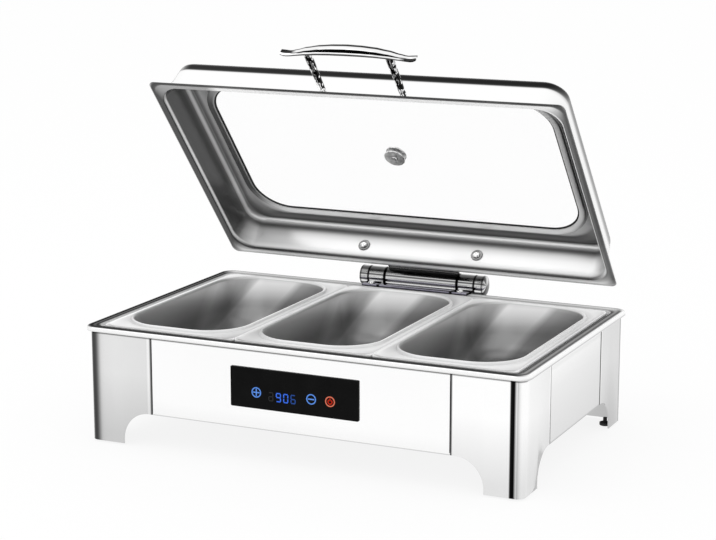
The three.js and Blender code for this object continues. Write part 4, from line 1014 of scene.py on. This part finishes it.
def wall_y(side, rise):
    foot = LID_FLANGE[1] / 2 - LID_FLANGE_WIDTH + LID_SHEET
    return LID_SHIFT + side * (foot - LID_SLOPE_Y * (rise - LID_SHEET) / WALL_RUN)


def wall_place(side, x, rise):
    return Vector((x, wall_y(side, rise), LID_Z + rise))


def wall_way(side):
    return Vector((0, side * math.cos(WALL_LEAN), math.sin(WALL_LEAN)))


def screw_head(place, way, radius, height, shank, length):
    """A domed head with a round recess, and its shank."""
    profile = [(0, -length), (shank, -length), (shank, 0), (radius, 0), (radius, height * 0.35),
               (radius * 0.86, height * 0.75), (radius * 0.55, height), (radius * 0.24, height),
               (radius * 0.2, height * 0.35), (0, height * 0.35)]
    return turned(profile, place, way)


def lid_screw(side):
    seat = LID_SHEET + CLEARANCE + WASHER_THICK + CLEARANCE
    place = wall_place(1, side * LID_SCREW_X, LID_SCREW_RISE) - wall_way(1) * seat
    return screw_head(place, -wall_way(1), LID_SCREW_HEAD, LID_SCREW_HEIGHT, 2.3, 6)


def lid_washer(side):
    seat = LID_SHEET + CLEARANCE
    place = wall_place(1, side * LID_SCREW_X, LID_SCREW_RISE) - wall_way(1) * seat
    profile = [
        (2.6, 0), (2.6, WASHER_THICK), (WASHER_RADIUS - 0.5, WASHER_THICK),
        (WASHER_RADIUS, WASHER_THICK - 0.5), (WASHER_RADIUS, 0), (2.6, 0)]
    return turned(profile, place, -wall_way(1))


def vent_disc(base):
    top = base + VENT_THICK
    profile = [(2.1, base), (VENT_RADIUS - 0.5, base), (VENT_RADIUS, base + 0.5), (VENT_RADIUS, top - 0.5),
               (VENT_RADIUS - 0.5, top), (2.1, top), (2.1, base)]
    return turned(profile, (0, LID_SHIFT, 0), steps=VENT_STEPS)


def vent_screw():
    seat = LID_TOP - GLASS_THICK - CLEARANCE - VENT_THICK - CLEARANCE
    return screw_head(Vector((0, LID_SHIFT, seat)), Vector((0, 0, -1)), VENT_SCREW, VENT_SCREW_HEIGHT, 1.8,
                      LID_TOP + CLEARANCE + VENT_THICK - seat)


# Hinge

def barrel(start, end, edge=0.4):
    profile = [
        (HINGE_BORE, start), (HINGE_RADIUS - edge, start), (HINGE_RADIUS, start + edge),
        (HINGE_RADIUS, end - edge), (HINGE_RADIUS - edge, end), (HINGE_BORE, end), (HINGE_BORE, start)]
    return turned(profile, HINGE, (1, 0, 0), BARREL_STEPS)


def hinge_cap(side):
    profile = [
        (0, CAP_SOCKET), (HINGE_BORE, CAP_SOCKET), (HINGE_BORE, 0), (HINGE_RADIUS - 0.4, 0),
        (HINGE_RADIUS, 0.4), (HINGE_RADIUS, CAP_LENGTH - CAP_DOME), (HINGE_RADIUS - 0.4, CAP_LENGTH - 1),
        (HINGE_RADIUS - CAP_DOME, CAP_LENGTH - 0.3), (HINGE_RADIUS * 0.62, CAP_LENGTH), (0, CAP_LENGTH)]
    place = HINGE + Vector((side * (KNUCKLE[1] + CLEARANCE), 0, 0))
    return turned(profile, place, (side, 0, 0), BARREL_STEPS)


def base_bracket():
    base = HOUSING_TOP + CLEARANCE
    plate = block((-KNUCKLE[1], KNUCKLE[1]), BRACKET_Y, (base, base + BRACKET_THICK), 0.4)
    middle = sum(BRACKET_Y) / 2
    arms = []
    for side in (-1, 1):
        start, end = sorted((side * KNUCKLE[0], side * KNUCKLE[1]))
        arms.append(block((start, end), (middle, HINGE.y), (base, base + BRACKET_THICK), 0.2))
        arms.append(barrel(start, end))
    return merged(plate, *arms)


def hinge_sleeve():
    """The sleeve and its web sit on the hinge's middle, the plate on the lid's."""
    low, high = LID_PLATE_RISE
    bm = bmesh.new()
    profile = [
        (wall_y(1, low) + CLEARANCE, LID_Z + low),
        (wall_y(1, low) + CLEARANCE + BRACKET_THICK, LID_Z + low),
        (wall_y(1, high) + CLEARANCE + BRACKET_THICK, LID_Z + high),
        (wall_y(1, high) + CLEARANCE, LID_Z + high)]
    face = bm.faces.new([bm.verts.new((-LID_PLATE_HALF, y, z)) for y, z in profile])
    drawn = bmesh.ops.extrude_face_region(bm, geom=[face])["geom"]
    bmesh.ops.translate(bm, vec=(LID_PLATE_HALF * 2, 0, 0), verts=of_kind(drawn, bmesh.types.BMVert))
    softened(bm, 0.4)
    front = wall_y(1, WEB_Z[0] - LID_Z) + CLEARANCE + BRACKET_THICK / 2
    web = block((-WEB_HALF - LID_OFFSET, WEB_HALF - LID_OFFSET), (front, HINGE.y), WEB_Z, 0.4)
    return merged(barrel(-SLEEVE_HALF - LID_OFFSET, SLEEVE_HALF - LID_OFFSET), bm, web)


def hinge_screw(side):
    seat = HOUSING_TOP + CLEARANCE + BRACKET_THICK + CLEARANCE
    place = Vector((side * BRACKET_SCREW_X, BRACKET_SCREW_Y, seat))
    return screw_head(place, Vector((0, 0, 1)), SCREW_HEAD, SCREW_HEIGHT, 2, 9)


# Handle

def handle_post(side):
    """A post that runs level out of the wall, its foot cut to the wall's slope."""
    place = wall_place(-1, HANDLE_SHIFT + side * POST_SPACING / 2, POST_RISE)
    bm = turned([(0, -POST_FOOT), (POST_FOOT, -POST_FOOT), (POST_FOOT, 0), (POST_TOP, POST_REACH - 0.3),
                 (POST_TOP - 0.3, POST_REACH), (0, POST_REACH)], place, (0, -1, 0), POST_STEPS)
    geometry = bm.verts[:] + bm.edges[:] + bm.faces[:]
    cut = bmesh.ops.bisect_plane(bm, geom=geometry, dist=0.0001, plane_co=place + wall_way(-1) * CLEARANCE,
                                 plane_no=wall_way(-1), clear_inner=True)["geom_cut"]
    bmesh.ops.contextual_create(bm, geom=of_kind(cut, bmesh.types.BMEdge))
    return bm


def share_at(table, share):
    """A table's value at a share of the bar's half length, eased between the table's places."""
    place = abs(share)
    for (low, high), (first, second) in zip(zip(BAR_PLACES, BAR_PLACES[1:]), zip(table, table[1:])):
        if place <= high:
            t = (place - low) / (high - low)
            return first + (second - first) * (3 * t * t - 2 * t * t * t) * 0.5 + (second - first) * t * 0.5
    return table[-1]


def handle_bar():
    """The bar as rings across it, from tip to tip."""
    bm = bmesh.new()
    path = bm.verts.layers.float_vector.new("path")
    out, across = Vector((0, -1, 0)), Vector((0, 0, 1))
    rings = []
    for i in range(BAR_STEPS + 1):
        share = -1 + 2 * i / BAR_STEPS
        width = BAR_WIDTH * share_at(BAR_WIDTHS, share)
        thick = BAR_THICK * share_at(BAR_THICKS, share)
        stand = BAR_STAND + BAR_BOW * share_at(BAR_BOWS, share) + BAR_FLICK * share_at(BAR_FLICKS, share)
        foot = wall_place(-1, HANDLE_SHIFT + share * BAR_LENGTH / 2, POST_RISE)
        if rings:
            verts, edges = drawn_out(bm, rings[-1])
        else:
            verts = bmesh.ops.create_circle(bm, cap_ends=False, radius=1, segments=BAR_FACETS)["verts"]
            edges = list(bm.edges)
            for vert in verts:
                vert[path] = vert.co
        for vert in verts:
            side, lift = vert[path].x, vert[path].y
            inner = -(abs(lift) ** 0.6)
            depth = thick / 2 * (lift if lift > 0 else inner)
            vert.co = foot + across * (side * width / 2) + out * (stand + depth)
            vert[path] = (side, lift, share / 2 + 0.5)
        rings.append(edges)
    for edges in (rings[0], rings[-1]):
        bmesh.ops.contextual_create(bm, geom=edges)
    return bm


# Touch panel

def touch_plate():
    width, height, radius = TOUCH_SIZE
    outline = Line(width, height, radius)
    bm = lofted([outline.at(0), outline.at(TOUCH_THICK, 0.35)], steps=TOUCH_STEPS)
    place = Matrix.Translation((TOUCH_X, TOUCH_FRONT + TOUCH_THICK, TOUCH_Z))
    bm.transform(place @ Matrix.Rotation(math.pi / 2, 4, "X"))
    return bm


def mark_bar(x, z, width, height):
    """A flat bar on the touch panel's face."""
    bm = block((-width / 2, width / 2), (-MARK_THICK, 0), (-height / 2, height / 2))
    bm.transform(Matrix.Translation((x, TOUCH_FRONT - MARK_GAP, z)))
    return bm


def mark_ring(x, z, radius, stroke, turn=math.tau):
    """A flat ring on the touch panel's face, open at its top where the turn is less than a whole one."""
    bm = bmesh.new()
    inner = radius - stroke
    corners = [(inner, 0), (radius, 0), (radius, MARK_THICK), (inner, MARK_THICK)]
    face = bm.faces.new([bm.verts.new((r, 0, h)) for r, h in corners])
    bmesh.ops.spin(bm, geom=[face], cent=(0, 0, 0), axis=(0, 0, 1), angle=turn, steps=SCREW_STEPS,
                   use_merge=turn >= math.tau)
    start = math.pi / 2 + (math.tau - turn) / 2
    stand = Matrix.Rotation(math.pi / 2, 4, "X") @ Matrix.Rotation(start, 4, "Z")
    bm.transform(Matrix.Translation((x, TOUCH_FRONT - MARK_GAP, z)) @ stand)
    return bm


def digit(x, z, lit):
    """The lit bars of a seven-bar digit, counted from the top round to the middle."""
    width, height, stroke = DIGIT_SIZE
    half, quarter = width / 2 - stroke / 2, height / 4
    level = (0, width - stroke * 1.3, stroke)
    upright = (0, stroke, height / 2 - stroke * 1.3)
    end, side = half, quarter * 2 - stroke / 2
    high, low = quarter - stroke / 4, stroke / 4 - quarter
    bars = [((0, side), level), ((end, high), upright), ((end, low), upright), ((0, -side), level),
            ((-end, low), upright), ((-end, high), upright), ((0, 0), level)]
    shown = (bars[i] for i in lit)
    return merged(*(mark_bar(x + place[0], z + place[1], size[1], size[2]) for place, size in shown))


# Scene

finishes = {
    "front": front_steel(), "side": side_steel(), "rim": rim_steel(), "lid": lid_steel(),
    "handle": handle_chrome(), "post": post_chrome(), "barrel": barrel_chrome(), "satin": satin_steel(),
    "panel glass": panel_glass(), "glass": lid_glass(),
    "washer": plated("washer chrome", [(0.3, 0.42), (0.7, 0.56)], mirrored, 0.2, 0.03),
    "bright": plated("bright chrome", [(0.3, 0.7), (0.45, 0.95), (0.7, 0.97)], grained, 0.12, 0.03),
    "vent": plated("vent chrome", [(0.3, 0.74), (0.6, 0.92)], grained, 0.25, 0.05, 0.01, 1.0),
    "cast": flecked("cast plate", "cast", 0.55, 0.66, METAL, 8.0, 4.0, 0.42, 0.3),
    "rubber": flecked("soft rubber", "black_rubber", 0.1, 0.14, PLAIN, 10.0, 3.0, 0.6, 0.2),
    "ceramic": flecked("ceramic", "ceramic", 0.86, 0.92),
    "dark": flecked("dark plastic", "dark_plastic", 0.13, 0.17),
    "board": flecked("board", "circuit", (0.06, 0.28, 0.16), (0.1, 0.36, 0.2)),
    "blue": lit_mark("blue mark", (0.3, 0.5, 0.85), (0.42, 0.62, 0.93)),
    "deep blue": lit_mark("deep blue mark", (0.16, 0.36, 0.85), (0.3, 0.5, 0.95)),
    "dim blue": lit_mark("dim blue mark", (0.12, 0.24, 0.5), (0.2, 0.34, 0.62)),
    "ghost": lit_mark("ghost mark", 0.14, 0.2),
    "orange": lit_mark("orange mark", (0.8, 0.4, 0.3), (0.9, 0.5, 0.4)),
    "red": lit_mark("red mark", (0.7, 0.12, 0.06), (0.8, 0.2, 0.1)),
}
# Painted reflections and shade along each leg's strip: dark bands at the bends and dark ends.
painted_leg_reflections = {
    "front_left": [
        (0.0, 0.35), (0.01, 0.4), (0.016, 0.93), (0.03, 0.96), (0.04, 0.885), (0.3, 0.9), (0.38, 0.89),
        (0.405, 0.87), (0.417, 0.83), (0.433, 0.65), (0.442, 0.51), (0.45, 0.39), (0.458, 0.31),
        (0.475, 0.25), (0.53, 0.3), (0.6, 0.8), (1.0, 0.85)],
    "front_right": [
        (0.0, 0.3), (0.008, 0.4), (0.014, 1.0), (0.413, 1.0), (0.419, 0.1), (0.446, 0.02), (0.452, 0.6),
        (0.46, 0.92), (0.468, 0.78), (0.478, 0.9), (0.49, 0.98), (0.5, 1.0), (0.55, 1.0), (0.6, 0.97),
        (0.97, 0.93), (0.985, 1.0), (1.0, 0.9)],
    "rear_left": [
        (0.0, 0.4), (0.014, 0.9), (0.44, 0.9), (0.48, 0.4), (0.53, 0.35), (0.6, 0.85), (0.98, 0.88),
        (1.0, 0.4)],
    "rear_right": [
        (0.0, 0.4), (0.014, 0.9), (0.44, 0.85), (0.5, 0.6), (0.535, 0.5), (0.548, 0.55), (0.562, 0.84),
        (0.8, 0.86), (0.96, 0.87), (0.978, 0.95), (0.984, 0.92), (0.989, 0.25), (1.0, 0.2)],
}


def on_base(name, bm, finish, *nodes):
    finished(name, bm, finishes[finish], "base", *nodes)


def on_lid(name, bm, finish, node):
    finished(name, bm, finishes[finish], "lid", node, place=lid_to_row)


on_base("rim_piece", top_rim(), "rim", "top_rim")
corners = (("front_left", -1, -1), ("front_right", 1, -1), ("rear_left", -1, 1), ("rear_right", 1, 1))
for place, side_x, side_y in corners:
    add_leg(f"leg_{place}", side_x, side_y, leg_steel(f"leg steel {place}", painted_leg_reflections[place]))
    on_base(f"foot_{place}_piece", rubber_foot(side_x, side_y), "rubber", f"foot_{place}")
for place, x in (("left", -PAN_PITCH), ("middle", 0), ("right", PAN_PITCH)):
    pan = f"food_pan_{place}"
    finished(f"{pan}_piece", food_pan(x), pan_steel(f"pan steel {place}", x), pan, pan)

on_lid("lid_piece", lid_shell(), "lid", "lid_shell")
on_lid("pane_piece", pane(), "glass", "window_glass")
on_lid("seal_piece", seal(), "rubber", "window_seal")
for side, word in ((-1, "left"), (1, "right")):
    on_lid(f"lid_screw_{word}_piece", lid_screw(side), "bright", f"lid_screw_{word}")
    on_lid(f"lid_washer_{word}_piece", lid_washer(side), "washer", f"lid_washer_{word}")
    on_lid(f"handle_post_{word}_piece", handle_post(side), "post", f"handle_post_{word}")
    on_base(f"hinge_cap_{word}_piece", hinge_cap(side), "barrel", f"hinge_cap_{word}")
    on_base(f"hinge_screw_{word}_piece", hinge_screw(side), "bright", f"hinge_screw_{word}")
on_lid("vent_base_piece", vent_disc(LID_TOP - GLASS_THICK - CLEARANCE - VENT_THICK), "vent", "vent_base")
on_lid("vent_cap_piece", vent_disc(LID_TOP + CLEARANCE), "vent", "vent_cap")
on_lid("vent_screw_piece", vent_screw(), "vent", "vent_screw")
on_base("bracket_piece", base_bracket(), "barrel", "hinge_base_bracket")
on_lid("sleeve_piece", hinge_sleeve(), "barrel", "hinge_sleeve")
on_lid("handle_piece", handle_bar(), "handle", "handle_bar")

on_base("touch_piece", touch_plate(), "panel glass", "touch_panel")
plus = [mark_bar(PLUS_X, MARK_Z, 8.6, 1.4), mark_bar(PLUS_X, MARK_Z, 1.4, 8.6)]
minus = [mark_bar(MINUS_X, MARK_Z, 8, 1.5)]
open_ring = mark_ring(POWER_X, MARK_Z - 0.3, 3.2, 1.3, math.radians(290))
power = [open_ring, mark_bar(POWER_X, MARK_Z + 2.3, 1.3, 3.4)]
on_base("plus_mark", merged(mark_ring(PLUS_X, MARK_Z, RING_RADIUS, RING_STROKE), *plus), "blue")
on_base("minus_mark", merged(mark_ring(MINUS_X, MARK_Z, RING_RADIUS, RING_STROKE), *minus), "blue")
on_base("power_ring_mark", mark_ring(POWER_X, MARK_Z, RING_RADIUS, RING_STROKE), "orange")
on_base("power_mark", merged(*power), "red")
digits = (
    ("ghost_digit", (0, 1, 2, 3, 4, 6), "ghost"), ("first_digit", (0, 1, 2, 3, 5, 6), "deep blue"),
    ("second_digit", (0, 1, 2, 3, 4, 5), "deep blue"), ("third_digit", (0, 2, 3, 4, 5, 6), "dim blue"),
)
for x, (name, lit, finish) in zip(DIGIT_PLACES, digits):
    on_base(name, digit(x, DIGIT_Z, lit), finish)

for finish, nodes in {
    "front": ("front_panel", "rear_panel"), "side": ("left_panel", "right_panel"), "cast": ("heating_plate",),
    "satin": ("water_pan", "bottom_cover", "heating_element", "element_clamp", "heat_shield", "hinge_shaft"),
    "ceramic": ("thermal_cutout", "terminal_block"), "board": ("control_board",),
    "dark": ("display_module", "control_box", "power_relay", "power_inlet"),
    "bright": ("handle_screw_left", "handle_screw_right"),
}.items():
    for node in nodes:
        dressed(node, finishes[finish])


def floor():
    """A pale floor that the camera, gloss and glass see as nearly white, with the object's shadow kept."""
    bm = bmesh.new()
    bmesh.ops.create_grid(bm, x_segments=1, y_segments=1, size=FLOOR_SIZE)
    mesh = bpy.data.meshes.new("floor")
    bm.to_mesh(mesh)
    bm.free()
    finish = Finish("pale floor", None, {
        "Base Color": linear(FLOOR_TONE), "Roughness": 0.9, "Specular IOR Level": 0.0})
    glow = finish.node("ShaderNodeEmission", values={"Color": (1, 1, 1, 1), "Strength": 1.0})
    kinds = ("Camera", "Glossy", "Transmission")
    camera_ray, glossy_ray, glass_ray = (
        finish.node("ShaderNodeLightPath", output=f"Is {kind} Ray") for kind in kinds)
    seen = (camera_ray + (glossy_ray + glass_ray)).below(1.0)
    lit = finish.node("ShaderNodeMixShader", values={
        0: seen * FLOOR_GLOW, 1: Flow(finish, finish.shader.outputs[0]), 2: glow})
    finish.tree.links.new(lit.socket, finish.tree.nodes["Material Output"].inputs["Surface"])
    mesh.materials.append(finish.material)
    linked("floor", mesh)


def studio():
    world = bpy.data.worlds.new("studio")
    world.use_nodes = True
    background = world.node_tree.nodes["Background"]
    background.inputs["Color"].default_value = (1, 1, 1, 1)
    background.inputs["Strength"].default_value = 1.0
    bpy.context.scene.world = world
    lamp = bpy.data.lights.new("soft box", "AREA")
    lamp.shape = "RECTANGLE"
    lamp.size = LAMP_SIZE
    lamp.size_y = LAMP_SIZE
    lamp.energy = LAMP_POWER
    holder = linked("soft box", lamp)
    holder.location = LAMP_PLACE
    holder.rotation_euler = (LAMP_AIM - LAMP_PLACE).to_track_quat("-Z", "Y").to_euler()


def camera():
    data = bpy.data.cameras.new("camera")
    data.lens = CAMERA_LENS
    data.sensor_width = 36
    holder = linked("camera", data)
    holder.location = CAMERA_PLACE
    holder.rotation_euler = (math.pi / 2 - CAMERA_PITCH, 0, CAMERA_YAW)
    bpy.context.scene.camera = holder


floor()
studio()
camera()
bpy.context.scene.view_settings.view_transform = "Standard"
